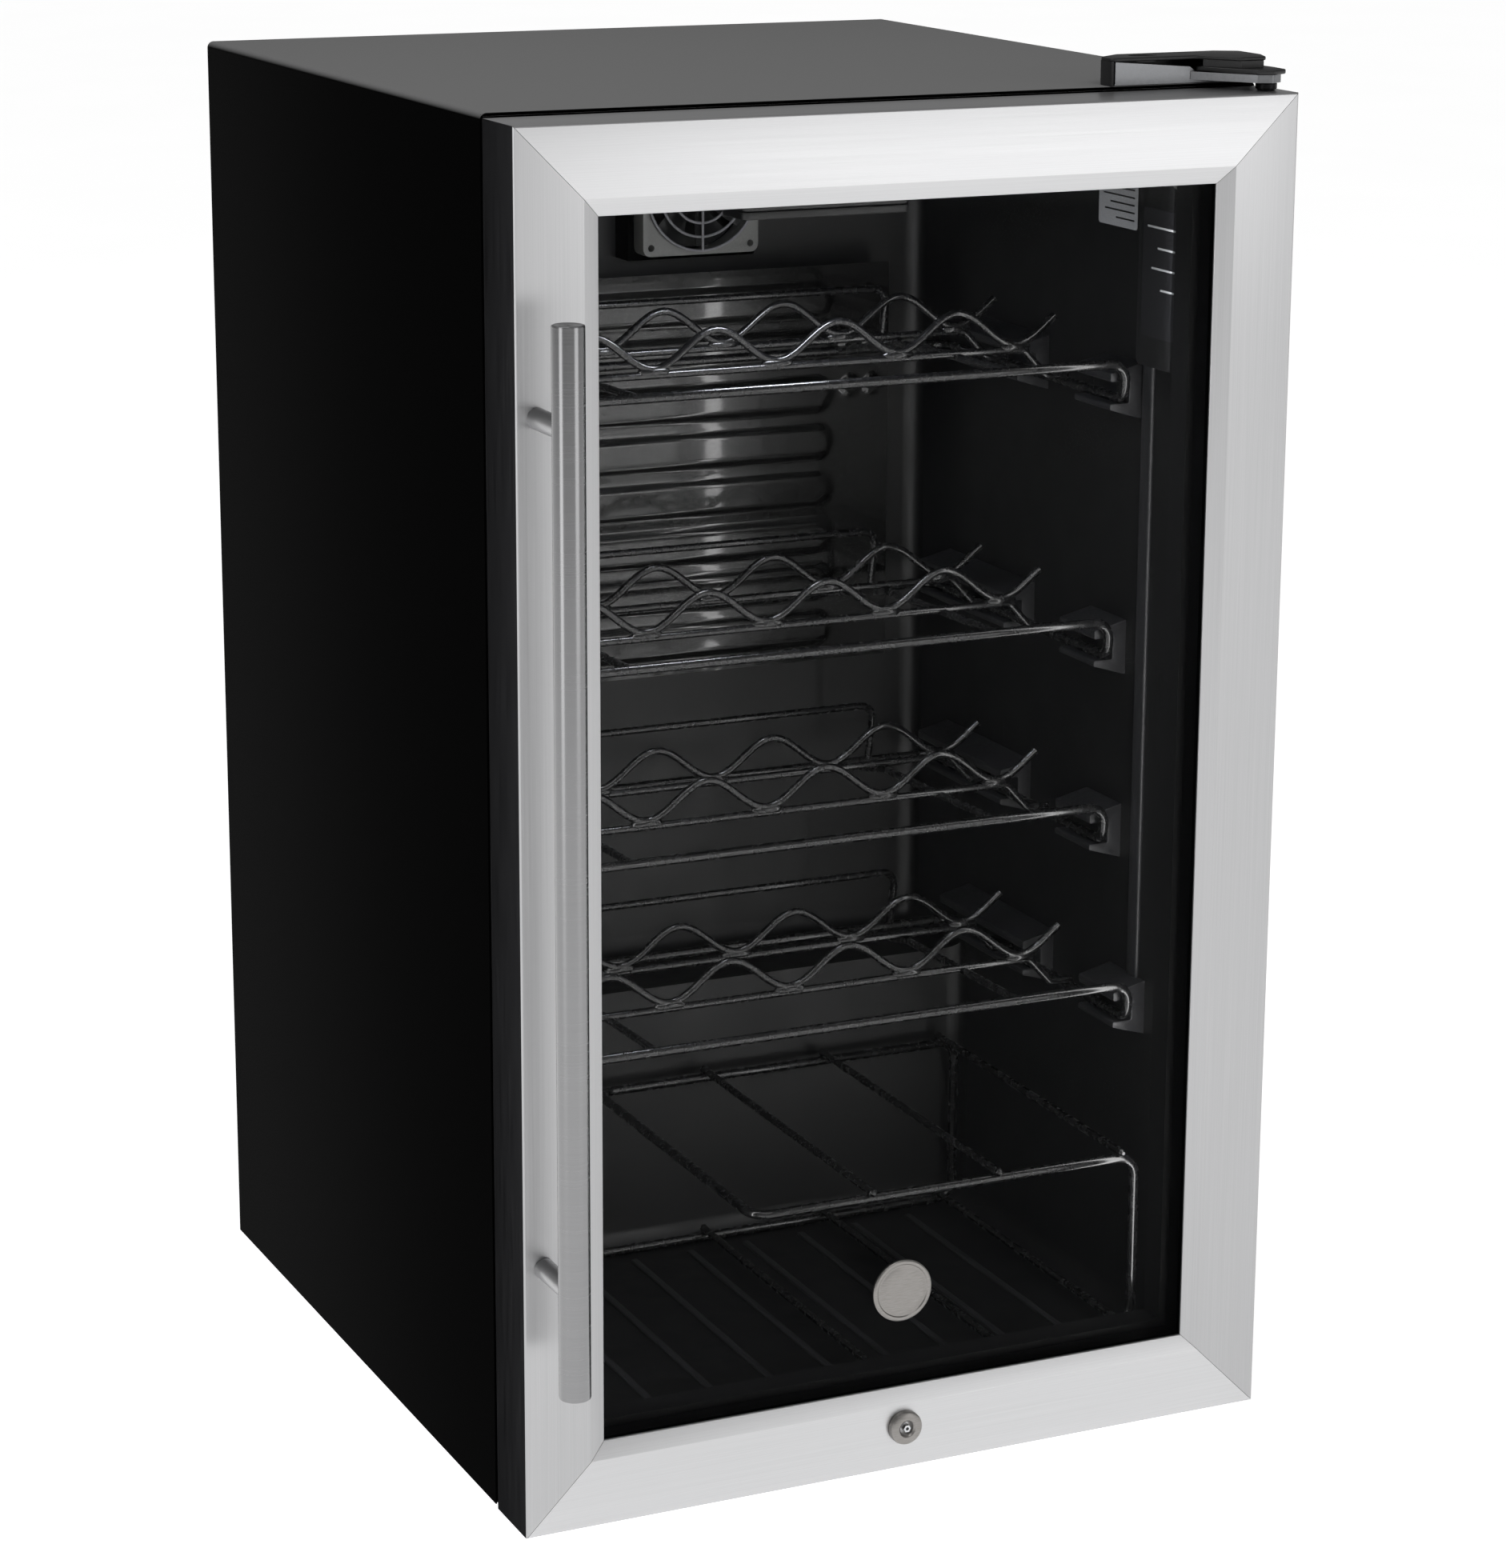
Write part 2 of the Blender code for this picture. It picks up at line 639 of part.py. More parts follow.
def make_controls(plastic, screen, button_finish):
    depth = (0.050, 0.104)
    box = block("control_box", (CONTROL_FACE, LINER_HALF - GAP), depth, (0.632, 0.768), plastic,
                bevel=0.002)
    block("control_display", (CONTROL_FACE - 0.0012, CONTROL_FACE - GAP), (0.0600, 0.0950),
          (0.7520, 0.7650), screen)
    for name, position in BUTTONS:
        centre = (CONTROL_FACE + 0.0006, position, BUTTON_HEIGHT)
        cut(box, rod(name + "_well", (CONTROL_FACE + 0.001, position, BUTTON_HEIGHT),
                     BUTTON_RADIUS + 0.0005, 0.006, "X", segments=16))
        button = rod(name, centre, BUTTON_RADIUS, 0.0040, "X", button_finish, segments=16)
        hang_on_axis(name + "_axis", place(*centre), [button])


# ---------------------------------------------------------------- shelves

def wave(depth, height):
    """A scalloped wire: five bottle troughs at the bottle pitch."""
    steps = 6
    points = []
    for centre in TROUGHS:
        for step in range(steps):
            phase = -0.5 + step / steps
            rise = WAVE_RISE * (0.5 - 0.5 * math.cos(math.tau * phase))
            if abs(centre + phase * BOTTLE_PITCH) < WAVE_END:
                points.append((centre + phase * BOTTLE_PITCH, depth, height + rise))
    return points


def make_shelves(coated_wire):
    """One welded wire shelf, drawn at height and depth zero, then set at each level."""
    corner, drop = 0.010, -RUNNER_DROP
    half, back = RUNNER_X, SHELF_LENGTH
    loop = bend([(-half, 0, 0), (half, 0, 0), (half, 0, drop), (half, back, drop),
                 (-half, back, drop), (-half, 0, drop)], corner, 2, cyclic=True)
    frame = as_mesh(tube("shelf_frame", loop, WIRE, cyclic=True))
    level = -RUNNER_DROP + WIRE + THIN_WIRE - 0.0008
    for depth in (0.072, 0.150):
        cross = bend([(-half, depth, level), (-0.182, depth, level), (-0.166, depth, 0),
                      (0.166, depth, 0), (0.182, depth, level), (half, depth, level)], 0.006, 1)
        join(frame, tube("cross_wire", cross, THIN_WIRE))
        join(frame, tube("bottle_wire", wave(depth, THIN_WIRE * 1.5), THIN_WIRE))
    stop = 0.018
    rail = bend([(-0.150, back, drop), (-0.150, back - 0.008, stop),
                 (0.150, back - 0.008, stop), (0.150, back, drop)], corner, 2)
    join(frame, tube("rear_stop", rail, THIN_WIRE))
    for x in (-0.120, 0.120):
        brace = [(x, 0, 0), (x, 0.150, -2 * THIN_WIRE + 0.0006), (x, back, drop)]
        join(frame, tube("brace", brace, THIN_WIRE))
    apply_all(frame)
    for number, (height, depth) in enumerate(SHELVES, start=1):
        shelf = add(f"shelf_{number}", frame.data, coated_wire)
        shelf.location = place(0, depth, height) - place(0, 0, 0)
    bpy.data.objects.remove(frame, do_unlink=True)


def make_cradle(coated_wire):
    """The fixed rack on the floor, whose raised deck carries a second layer of bottles."""
    left, right, step = -0.190, 0.200, -0.060
    front, back = 0.082, 0.325
    floor, deck = LINER_FLOOR + WIRE + GAP, 0.138
    base = bend([(left, front, floor), (right, front, floor), (right, front, deck),
                 (step, front, deck), (step, back, deck), (right, back, deck),
                 (right, back, floor), (left, back, floor)], 0.012, 3, cyclic=True)
    rack = as_mesh(tube("bottle_cradle", base, WIRE, cyclic=True))
    rack.data.materials.append(coated_wire)
    over = WIRE + THIN_WIRE - 0.0008
    for x in (0.017, 0.103, 0.189):
        for height in (floor + over, deck + over):
            points = [(x, front - 0.006, height), (x, back + 0.006, height)]
            join(rack, tube("cradle_wire", points, THIN_WIRE))


# ---------------------------------------------------------------- door

def mitred_rail(name, length, along, material):
    """A folded stainless channel whose ends are cut at 45 degrees.

    The section runs inwards from the door's outer edge; along is the edge's axis.
    """
    flat = RAIL_WIDTH - RAIL_BEVEL
    section = [(0, DOOR_DEPTH - 0.0004), (0, 0.0008), (0.0008, 0), (flat, 0),
               (RAIL_WIDTH, RAIL_STEP), (RAIL_WIDTH, RAIL_STEP + RAIL_SHEET),
               (flat, RAIL_SHEET), (RAIL_SHEET, RAIL_SHEET),
               (RAIL_SHEET, DOOR_DEPTH - 0.0004)]
    rail = plate(name, [section], "XY", -length / 2, length / 2)
    rail = as_mesh(rail)
    for vertex in rail.data.vertices:
        end = 1 if vertex.co.z > 0 else -1
        vertex.co.z -= end * (vertex.co.x + GAP / 2)
    rail.data.materials.append(material)
    inwards, edge = along
    back = Vector((0, 1, 0))
    turn = Matrix((inwards, back, inwards.cross(back))).transposed().to_4x4()
    rail.matrix_world = Matrix.Translation(place(*edge)) @ turn
    return rail


def make_door_frame(steel, plastic):
    middle = DOOR_HEIGHT / 2
    up, right = Vector((0, 0, 1)), Vector((1, 0, 0))
    bottom = mitred_rail("door_rail_bottom", WIDTH, (up, (0, 0, 0)), steel)
    top = mitred_rail("door_rail_top", WIDTH, (-up, (0, 0, DOOR_HEIGHT)), steel)
    left = mitred_rail("door_stile_left", DOOR_HEIGHT, (right, (-HALF, 0, middle)), steel)
    side = mitred_rail("door_stile_right", DOOR_HEIGHT, (-right, (HALF, 0, middle)), steel)

    edge = RAIL_SHEET + GAP
    core = block("door_core", (-HALF + edge, HALF - edge), (edge, DOOR_DEPTH),
                 (edge, DOOR_HEIGHT - edge), plastic)

    def opening(name, inset, depth):
        return block(name, (-HALF + inset, HALF - inset), depth, (inset, DOOR_HEIGHT - inset))
    pane_back = GLASS_FRONT + 2 * GLASS + PANE_GAP + 3 * GAP
    cut(core, opening("view_opening", VIEW_EDGE, (-0.01, 0.06)))
    cut(core, opening("glass_rebate", PANE_EDGE - GAP, (-0.01, pane_back)))
    groove = [rectangle((-GASKET_OUT - GAP, GASKET_OUT + GAP), (GASKET_LOW - GAP, GASKET_HIGH + GAP)),
              rectangle((-GASKET_IN + GAP, GASKET_IN - GAP),
                        (GASKET_LOW + GASKET_WIDTH + GAP, GASKET_HIGH - GASKET_WIDTH - GAP))]
    cut(core, plate("gasket_groove", groove, "XZ", GASKET_FRONT - GAP, 0.06))
    for rail, height, end in ((bottom, 0.0, "bottom"), (top, DOOR_HEIGHT, "top")):
        for piece in (rail, core):
            cut(piece, rod(f"{end}_bush_hole_{piece.name}", (HINGE_X, HINGE_DEPTH, height),
                           BUSH_HOLE, 0.029, "Z", segments=20))
    slot_depth = (CAM_DEPTH - 0.0005, CAM_DEPTH + CAM_SHEET + 0.0006)
    cut(core, block("cam_slot", (-0.031, 0.010), slot_depth, (-0.01, 0.0345)))
    cut(bottom, block("cam_slot_in_rail", (-0.021, 0.006), slot_depth, (-0.01, 0.004)))
    for piece in (bottom, core):
        cut(piece, rod(f"lock_hole_{piece.name}", (0, CAM_DEPTH / 2 - 0.001, LOCK_HEIGHT),
                       LOCK_HOLE, CAM_DEPTH + 0.002, "Y"))
    return [bottom, top, left, side, core]


def make_glazing(glass, spacer_finish, rubber, badge_finish):
    x = (-HALF + PANE_EDGE, HALF - PANE_EDGE)
    height = (PANE_EDGE, DOOR_HEIGHT - PANE_EDGE)
    first = (GLASS_FRONT, GLASS_FRONT + GLASS)
    spacer = (first[1] + GAP, first[1] + GAP + PANE_GAP)
    second = (spacer[1] + GAP, spacer[1] + GAP + GLASS)
    ring = [rectangle(x, height),
            rectangle((-HALF + SPACER_EDGE, HALF - SPACER_EDGE),
                      (SPACER_EDGE, DOOR_HEIGHT - SPACER_EDGE))]
    seal = [rectangle((-GASKET_OUT, GASKET_OUT), (GASKET_LOW, GASKET_HIGH)),
            rectangle((-GASKET_IN, GASKET_IN),
                      (GASKET_LOW + GASKET_WIDTH, GASKET_HIGH - GASKET_WIDTH))]
    return [block("glass_outer", x, first, height, glass),
            plate("glass_spacer", ring, "XZ", *spacer, spacer_finish),
            block("glass_inner", x, second, height, glass),
            plate("door_gasket", seal, "XZ", GASKET_FRONT, CABINET_FRONT - 0.0002, rubber),
            rod("round_badge", (0, GLASS_FRONT - 0.0013, 0.110), 0.0190, 0.0020, "Y",
                badge_finish, segments=32)]


def make_handle(steel):
    centre = sum(HANDLE_ENDS) / 2
    half = (HANDLE_ENDS[1] - HANDLE_ENDS[0]) / 2
    r, chamfer = HANDLE_RADIUS, 0.0008
    profile = [(0.0, half), (r - chamfer, half), (r, half - chamfer),
               (r, chamfer - half), (r - chamfer, -half), (0.0, -half)]
    pieces = [turned("handle_bar", (HANDLE_X, -HANDLE_STANDOFF, centre), profile, steel, steps=32)]
    for name, height in POSTS:
        post = rod(name, (HANDLE_X, -HANDLE_STANDOFF / 2 - GAP, height), POST_RADIUS,
                   HANDLE_STANDOFF, "Y", steel, segments=20)
        cut(post, rod(name + "_saddle", (HANDLE_X, -HANDLE_STANDOFF, height), r + GAP, 0.03, "Z",
                      segments=32))
        pieces.append(post)
    return pieces


def make_lock(steel, cam_finish):
    """A cam lock in the bottom rail; its cam turns down into a slotted strike."""
    barrel_end = CAM_DEPTH - 0.0015
    barrel = [(0.0043, 0.0043), (0.0070, 0.0046), (0.0096, 0.0042), (0.0103, 0.0032),
              (0.0103, 0.0003), (0.0074, 0.0003), (0.0074, -barrel_end), (0.0043, -barrel_end)]
    barrel_piece = turned("lock_barrel", (0, 0, LOCK_HEIGHT), barrel, steel,
                          axis="Y", closed=True)
    plug = rod("lock_plug", (0, (CAM_DEPTH - GAP - 0.001) / 2, LOCK_HEIGHT), PLUG_RADIUS,
               CAM_DEPTH - GAP + 0.001, "Y", steel)
    join(plug, rod("key_post", (0, -0.0020, LOCK_HEIGHT), 0.0024, 0.0050, "Y", segments=6))
    arm = softened([(-0.0290, -0.004), (0.0, -0.004), (0.0050, -0.0045), (0.0068, 0.0),
                    (0.0050, 0.0045), (0.0, 0.004), (-0.0290, 0.004)], 0.002, 2)
    cam = plate("lock_cam", [[(x, LOCK_HEIGHT + z) for x, z in arm]], "XZ",
                CAM_DEPTH, CAM_DEPTH + CAM_SHEET, cam_finish)
    return [barrel_piece], [plug, cam]


def make_strike(steel):
    strike = block("lock_strike", (-0.030, 0.020), (0.0470, 0.085), (-0.0030, 0.0013), steel)
    join(strike, block("strike_tongue", (-0.030, 0.020), (0.026, 0.050), (-0.0030, -0.0006)))
    cut(strike, block("strike_slot", (-0.019, 0.006),
                      (CAM_DEPTH - 0.0009, CAM_DEPTH + CAM_SHEET + 0.0010), (-0.01, 0.01)))


# ---------------------------------------------------------------- hinges

def make_bush(name, low, high, plastic):
    profile = [(0.00335, high), (0.0051, high), (0.0051, low), (0.00335, low)]
    return turned(name, (HINGE_X, HINGE_DEPTH, 0), profile, plastic, steps=20, closed=True)


def make_top_hinge(steel, plastic):
    roof = CABINET_TOP + GAP
    base = block("top_hinge_bracket", (0.1475, 0.2370), (0.0490, 0.0585), (roof, roof + 0.0030),
                 steel)
    upright = [(0.1475, roof + 0.001), (0.2000, roof + 0.001), (0.2000, 0.8095),
               (0.1965, 0.8120), (0.1475, 0.8160)]
    join(base, plate("upright", [upright], "XZ", 0.0486, 0.0506))
    arm = softened([(0.1965, 0.0486), (0.2205, 0.0135), (0.2290, 0.0095), (0.2365, 0.0140),
                    (0.2370, 0.0300), (0.2370, 0.0600), (0.1965, 0.0600)], 0.002, 2)
    join(base, plate("arm", [arm], "XY", roof + 0.0020, roof + 0.0065))
    cut(base, rod("pin_hole", (HINGE_X, HINGE_DEPTH, roof), PIN_HOLE, 0.03, "Z", segments=20))

    brim = [(0.1440, 0.0468), (0.2000, 0.0468), (0.2160, 0.0250), (0.2330, 0.0250),
            (0.2385, 0.0400), (0.2385, 0.0640), (0.2250, 0.0710), (0.1600, 0.0710),
            (0.1440, 0.0600)]
    cover = as_mesh(plate("top_hinge_cover", [softened(brim, 0.003, 2)], "XY", roof, 0.8185))
    cover.data.materials.append(plastic)
    hollow = [(0.1466, 0.0300), (0.2020, 0.0300), (0.2100, 0.0000), (0.2450, 0.0000),
              (0.2450, 0.0400), (0.2372 + GAP, 0.0400), (0.2372 + GAP, 0.0630),
              (0.2240, 0.0690), (0.1610, 0.0690), (0.1466, 0.0590)]
    cut(cover, plate("hinge_hollow", [hollow], "XY", 0.7900, 0.8165))
    tongue = [(0.1985, 0.0480), (0.2195, 0.0115), (0.2290, 0.0070), (0.2385, 0.0120),
              (0.2395, 0.0260), (0.2370, 0.0500), (0.2050, 0.0500)]
    join(cover, plate("tongue", [softened(tongue, 0.003, 2)], "XY", roof + 0.0068, roof + 0.0095))
    join(cover, plate("step_wall", [[(0.2030, 0.0450), (0.2172, 0.0262), (0.2320, 0.0262),
                                     (0.2370, 0.0400), (0.2355, 0.0400), (0.2310, 0.0278),
                                     (0.2180, 0.0278), (0.2048, 0.0450)]], "XY",
                      roof + 0.0080, 0.8175))
    profile = [(0.0, roof + 0.0064), (PIN_RADIUS, roof + 0.0064), (PIN_RADIUS, roof + 0.0016),
               (0.0062, roof + 0.0016), (0.0062, 0.8004), (PIN_RADIUS, 0.8004),
               (PIN_RADIUS, 0.7875), (0.0, 0.7875)]
    turned("top_hinge_pin", (HINGE_X, HINGE_DEPTH, 0), profile, steel, steps=20)
    return make_bush("top_hinge_bush", 0.7862, 0.8000, plastic)


def make_lower_hinge(steel, plastic):
    bracket = block("lower_hinge_bracket", (0.2030, 0.2370), (0.0470, 0.110), (-0.0030, 0.0013),
                    steel)
    arm = softened([(0.2030, 0.0500), (0.2205, 0.0130), (0.2290, 0.0090), (0.2365, 0.0130),
                    (0.2370, 0.0500)], 0.002, 2)
    join(bracket, plate("lower_arm", [arm], "XY", -0.0030, -0.0006))
    cut(bracket, rod("lower_pin_hole", (HINGE_X, HINGE_DEPTH, 0), PIN_HOLE, 0.02, "Z",
                     segments=20))
    rod("lower_hinge_pin", (HINGE_X, HINGE_DEPTH, 0.0048), PIN_RADIUS, 0.0156, "Z", steel,
        segments=20)
    return make_bush("lower_hinge_bush", 0.0002, 0.0138, plastic)


# ---------------------------------------------------------------- assembly

def main():
    clear_scene()
    black_paint = finish("black enamelled steel", (0.020, 0.020, 0.021), 0.45)
    zinc = finish("zinc plated steel", (0.55, 0.55, 0.56), 0.35, 1.0)
    stainless = finish("brushed stainless steel", (0.62, 0.62, 0.61), 0.30, 1.0)
    chrome = finish("chromed steel", (0.75, 0.75, 0.76), 0.12, 1.0)
    liner = finish("black polystyrene", (0.012, 0.012, 0.013), 0.40)
    black = finish("black ABS", (0.015, 0.015, 0.016), 0.45)
    grey = finish("grey ABS", (0.30, 0.30, 0.29), 0.5)
    foam = finish("polyurethane foam", (0.75, 0.66, 0.45), 0.9)
    glass = finish("clear glass", (0.80, 0.83, 0.83), 0.05, 0.0, 0.25)
    rubber = finish("black rubber", (0.02, 0.02, 0.02), 0.8)
    copper = finish("copper", (0.72, 0.35, 0.22), 0.35, 1.0)
    coated = finish("black coated wire", (0.018, 0.018, 0.019), 0.35)
    alloy = finish("black coated aluminium", (0.02, 0.02, 0.021), 0.18)
    milk = finish("frosted lens", (0.8, 0.8, 0.78), 0.5)
    screen = finish("black display window", (0.01, 0.01, 0.012), 0.1)

    make_wrapper(black_paint)
    make_front_flange(black_paint)
    make_rear_and_niche(zinc)
    make_base_pan(zinc)
    make_foam(foam)
    make_liner(liner)
    for name, x, depth in FEET:
        make_foot(name, x, depth, black)
    make_evaporator(alloy)
    make_fan(grey, black, grey)
    make_fan_bracket(black_paint)
    make_compressor(black_paint, black, copper, black)
    make_pipes(black_paint, copper)
    make_cord_gland(rubber)
    make_light(black, milk)
    make_controls(black, screen, grey)
    make_shelves(coated)
    make_cradle(coated)
    make_strike(zinc)

    door = make_door_frame(stainless, black)
    door += make_glazing(glass, black, rubber, stainless)
    door += make_handle(stainless)
    fixed, turning = make_lock(chrome, zinc)
    door += fixed
    door.append(make_top_hinge(chrome, black))
    door.append(make_lower_hinge(zinc, black))
    hang_on_axis("door_axis", place(HINGE_X, HINGE_DEPTH, 0), door)
    hang_on_axis("lock_axis", place(0, CAM_DEPTH, LOCK_HEIGHT), turning)


main()
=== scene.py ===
# %% [markdown]
# # A wine cooler with a stainless door
#
# The real object is a small refrigerator: a folded steel cabinet, a moulded black liner inside it,
# and a glazed door in a brushed stainless frame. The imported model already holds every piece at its
# true size. This lesson gives those pieces their looks: finer shapes where the model is plain, and
# a procedural material on every surface. All sizes are in metres.

# %% Load the frame
import math

import bmesh
import bpy
import numpy as np
from mathutils import Matrix, Vector


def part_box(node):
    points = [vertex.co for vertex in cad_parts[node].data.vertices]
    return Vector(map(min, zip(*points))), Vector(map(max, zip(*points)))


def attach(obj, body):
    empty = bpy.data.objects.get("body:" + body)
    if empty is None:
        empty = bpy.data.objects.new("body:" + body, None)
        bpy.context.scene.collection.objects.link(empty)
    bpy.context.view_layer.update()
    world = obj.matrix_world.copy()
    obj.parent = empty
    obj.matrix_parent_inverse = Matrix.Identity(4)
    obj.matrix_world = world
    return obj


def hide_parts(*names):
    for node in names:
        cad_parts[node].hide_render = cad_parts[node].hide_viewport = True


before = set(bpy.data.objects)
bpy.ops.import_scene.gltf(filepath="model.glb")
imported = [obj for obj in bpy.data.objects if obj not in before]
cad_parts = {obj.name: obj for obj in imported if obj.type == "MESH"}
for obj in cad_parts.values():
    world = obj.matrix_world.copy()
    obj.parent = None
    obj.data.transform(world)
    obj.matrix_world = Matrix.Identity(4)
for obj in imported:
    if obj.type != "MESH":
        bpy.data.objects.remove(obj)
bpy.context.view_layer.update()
scene = bpy.context.scene

# %% [markdown]
# ## Places on the cooler
#
# People who fit doors measure back from the door's face and up from its bottom edge. Both planes
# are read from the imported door, so every place below follows the model.

# %% Depth and height
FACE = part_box("door_rail_top")[0].y
DOOR_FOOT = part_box("door_rail_bottom")[0].z
DOOR_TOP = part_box("door_rail_top")[1].z - DOOR_FOOT
DOOR_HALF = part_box("door_stile_right")[1].x


def at(x, depth, height):
    """A point from its distance right of the middle, behind the door's face and above its foot."""
    return Vector((x, FACE + depth, DOOR_FOOT + height))


def spans(node):
    """A node's low and high x, depth and height."""
    low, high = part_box(node)
    return ((low.x, high.x), (low.y - FACE, high.y - FACE), (low.z - DOOR_FOOT, high.z - DOOR_FOOT))


def middle_of(pair):
    return sum(pair) / 2


def half_of(pair):
    return (pair[1] - pair[0]) / 2


print("door face at y", round(FACE, 4), "and the door is", round(2 * DOOR_HALF, 4), "by",
      round(DOOR_TOP, 4))

# %% [markdown]
# ## Camera
#
# A long lens a little above the cooler and to its left, as for a catalogue picture. The camera is
# set by where it stands, the way it faces and its focal length. A small downward shift keeps the
# upright edges more nearly parallel.

# %% Camera
CAMERA_PLACE = at(-1.0343, -2.0183, 1.0282)
CAMERA_AZIMUTH, CAMERA_PITCH, CAMERA_ROLL = map(math.radians, (-24.83, 14.19, 0.26))
camera_data = bpy.data.cameras.new("catalogue_camera")
camera_data.lens = 94.9
camera_data.sensor_width = 36.0
camera_data.shift_y = -0.04
camera = bpy.data.objects.new("catalogue_camera", camera_data)
scene.collection.objects.link(camera)
camera.matrix_world = (Matrix.Translation(CAMERA_PLACE) @ Matrix.Rotation(CAMERA_AZIMUTH, 4, "Z")
                       @ Matrix.Rotation(math.radians(90) - CAMERA_PITCH, 4, "X")
                       @ Matrix.Rotation(CAMERA_ROLL, 4, "Z"))
scene.camera = camera
print("camera stands at", [round(v, 3) for v in CAMERA_PLACE])

# %% [markdown]
# ## Colours and nodes
#
# Colours are written as the sRGB hex values that a paint program shows. Blender's sockets want
# linear light, so one function converts them. One more function adds a shader node: a value that
# is a socket becomes a link, and anything else is typed into the socket.

# %% Helpers for materials
def linear(hex_colour):
    """An sRGB hex colour as linear red, green, blue and alpha."""
    channels = [int(hex_colour[i:i + 2], 16) / 255 for i in (1, 3, 5)]
    return (*[c / 12.92 if c <= 0.04045 else ((c + 0.055) / 1.055) ** 2.4 for c in channels], 1.0)


def add_node(tree, kind, sockets, **settings):
    """A node with its settings; sockets maps an input's name to a value or to an output to link."""
    made = tree.nodes.new(kind)
    for name, value in settings.items():
        setattr(made, name, value)
    for name, value in sockets.items():
        if isinstance(value, bpy.types.NodeSocket):
            tree.links.new(value, made.inputs[name])
        else:
            made.inputs[name].default_value = value
    return made


# A mix node holds sockets for numbers, vectors and colours; these are the ones for colours.
MIX_SHARE, MIX_FIRST, MIX_SECOND, MIX_RESULT = 0, 6, 7, 2


def start_material(name, slot, constants):
    """A Principled material; what is the same all over is set on the shader itself."""
    material = bpy.data.materials.new(name)
    material.use_nodes = True
    material["slot"] = slot
    shader = material.node_tree.nodes["Principled BSDF"]
    for socket, value in constants.items():
        shader.inputs[socket].default_value = value
    return material


def grain(material, size_mm, colours, roughness, relief_mm, detail=4.0):
    """Lays one noise over a material: its colour, its roughness and its fine relief.

    size_mm is the grain's size along x, y and z, or one size for all three; colours and roughness
    are a low and a high value.
    """
    sizes = size_mm if isinstance(size_mm, (tuple, list)) else (size_mm,) * 3
    tree = material.node_tree
    shader = tree.nodes["Principled BSDF"]
    place = add_node(tree, "ShaderNodeTexCoord", {})
    scale = add_node(tree, "ShaderNodeMapping", {"Vector": place.outputs["Object"],
                                                 "Scale": [1000 / size for size in sizes]})
    noise = add_node(tree, "ShaderNodeTexNoise", {"Vector": scale.outputs["Vector"], "Scale": 1.0,
                                                  "Detail": detail, "Roughness": 0.55})
    spread = add_node(tree, "ShaderNodeMapRange", {"Value": noise.outputs["Fac"],
                                                   "From Min": 0.3, "From Max": 0.7})
    colour = add_node(tree, "ShaderNodeMix", {MIX_SHARE: spread.outputs["Result"],
                                              MIX_FIRST: linear(colours[0]),
                                              MIX_SECOND: linear(colours[1])}, data_type="RGBA")
    dull = add_node(tree, "ShaderNodeMapRange", {"Value": noise.outputs["Fac"], "From Min": 0.3,
                                                 "From Max": 0.7, "To Min": roughness[0],
                                                 "To Max": roughness[1]})
    bump = add_node(tree, "ShaderNodeBump", {"Height": noise.outputs["Fac"], "Strength": 1.0,
                                             "Distance": relief_mm / 1000})
    tree.links.new(colour.outputs[MIX_RESULT], shader.inputs["Base Color"])
    tree.links.new(dull.outputs["Result"], shader.inputs["Roughness"])
    tree.links.new(bump.outputs["Normal"], shader.inputs["Normal"])
    return colour


def finish(name, slot, constants, size_mm, colours, roughness, relief_mm, detail=4.0):
    """A material whose only pattern is one grain."""
    material = start_material(name, slot, constants)
    grain(material, size_mm, colours, roughness, relief_mm, detail)
    return material


METAL = {"Metallic": 1.0}
print("white is", linear("#FFFFFF"), "and mid grey is", round(linear("#808080")[0], 3))

# %% [markdown]
# ## Brushed stainless steel
#
# The door's frame is AISI 430 stainless, brushed with a belt. The belt leaves fine scratches all
# one way, so light spreads across the scratches and hardly at all along them. That is anisotropy,
# and its tangent is the way the light spreads. The scratches of the real belt, grit 180, are about
# 0.1 mm wide, too fine to show, so they are drawn 0.7 mm wide. The rails are brushed sideways and
# the stiles upright, so a mitred corner changes tone at its joint; the rails are also painted a
# lighter grey than the stiles, and the handle a darker one, as painted light and shade on one
# steel. The handle's bar is brushed as it turns in a lathe, so its scratches run round it, and a
# softbox shows in it as a long clear band. The strip's outer edge, the door's side, is not brushed:
# it is painted a darker, duller steel as painted shade, standing in for a dark reflection.

# %% Brushed stainless
SCRATCH_MM = 0.7
SCRATCH_LENGTH_MM = 160.0


def brushed_stainless(name, grain_axes, spread_axis, colours, roughness, relief_mm=0.0015):
    """Belt-brushed stainless whose scratches run along the grain's axes: 0 is x and 2 is z."""
    material = start_material(name, "stainless", {"Metallic": 1.0, "Anisotropic": 0.75})
    size = [SCRATCH_MM] * 3
    for axis in grain_axes:
        size[axis] = SCRATCH_LENGTH_MM
    grain(material, size, colours, roughness, relief_mm)
    tree = material.node_tree
    across = [0.0, 0.0, 0.0]
    across[spread_axis] = 1.0
    spread = add_node(tree, "ShaderNodeCombineXYZ", dict(zip("XYZ", across)))
    turned = add_node(tree, "ShaderNodeVectorTransform", {"Vector": spread.outputs["Vector"]},
                      vector_type="VECTOR", convert_from="OBJECT", convert_to="WORLD")
    tree.links.new(turned.outputs["Vector"], tree.nodes["Principled BSDF"].inputs["Tangent"])
    return material
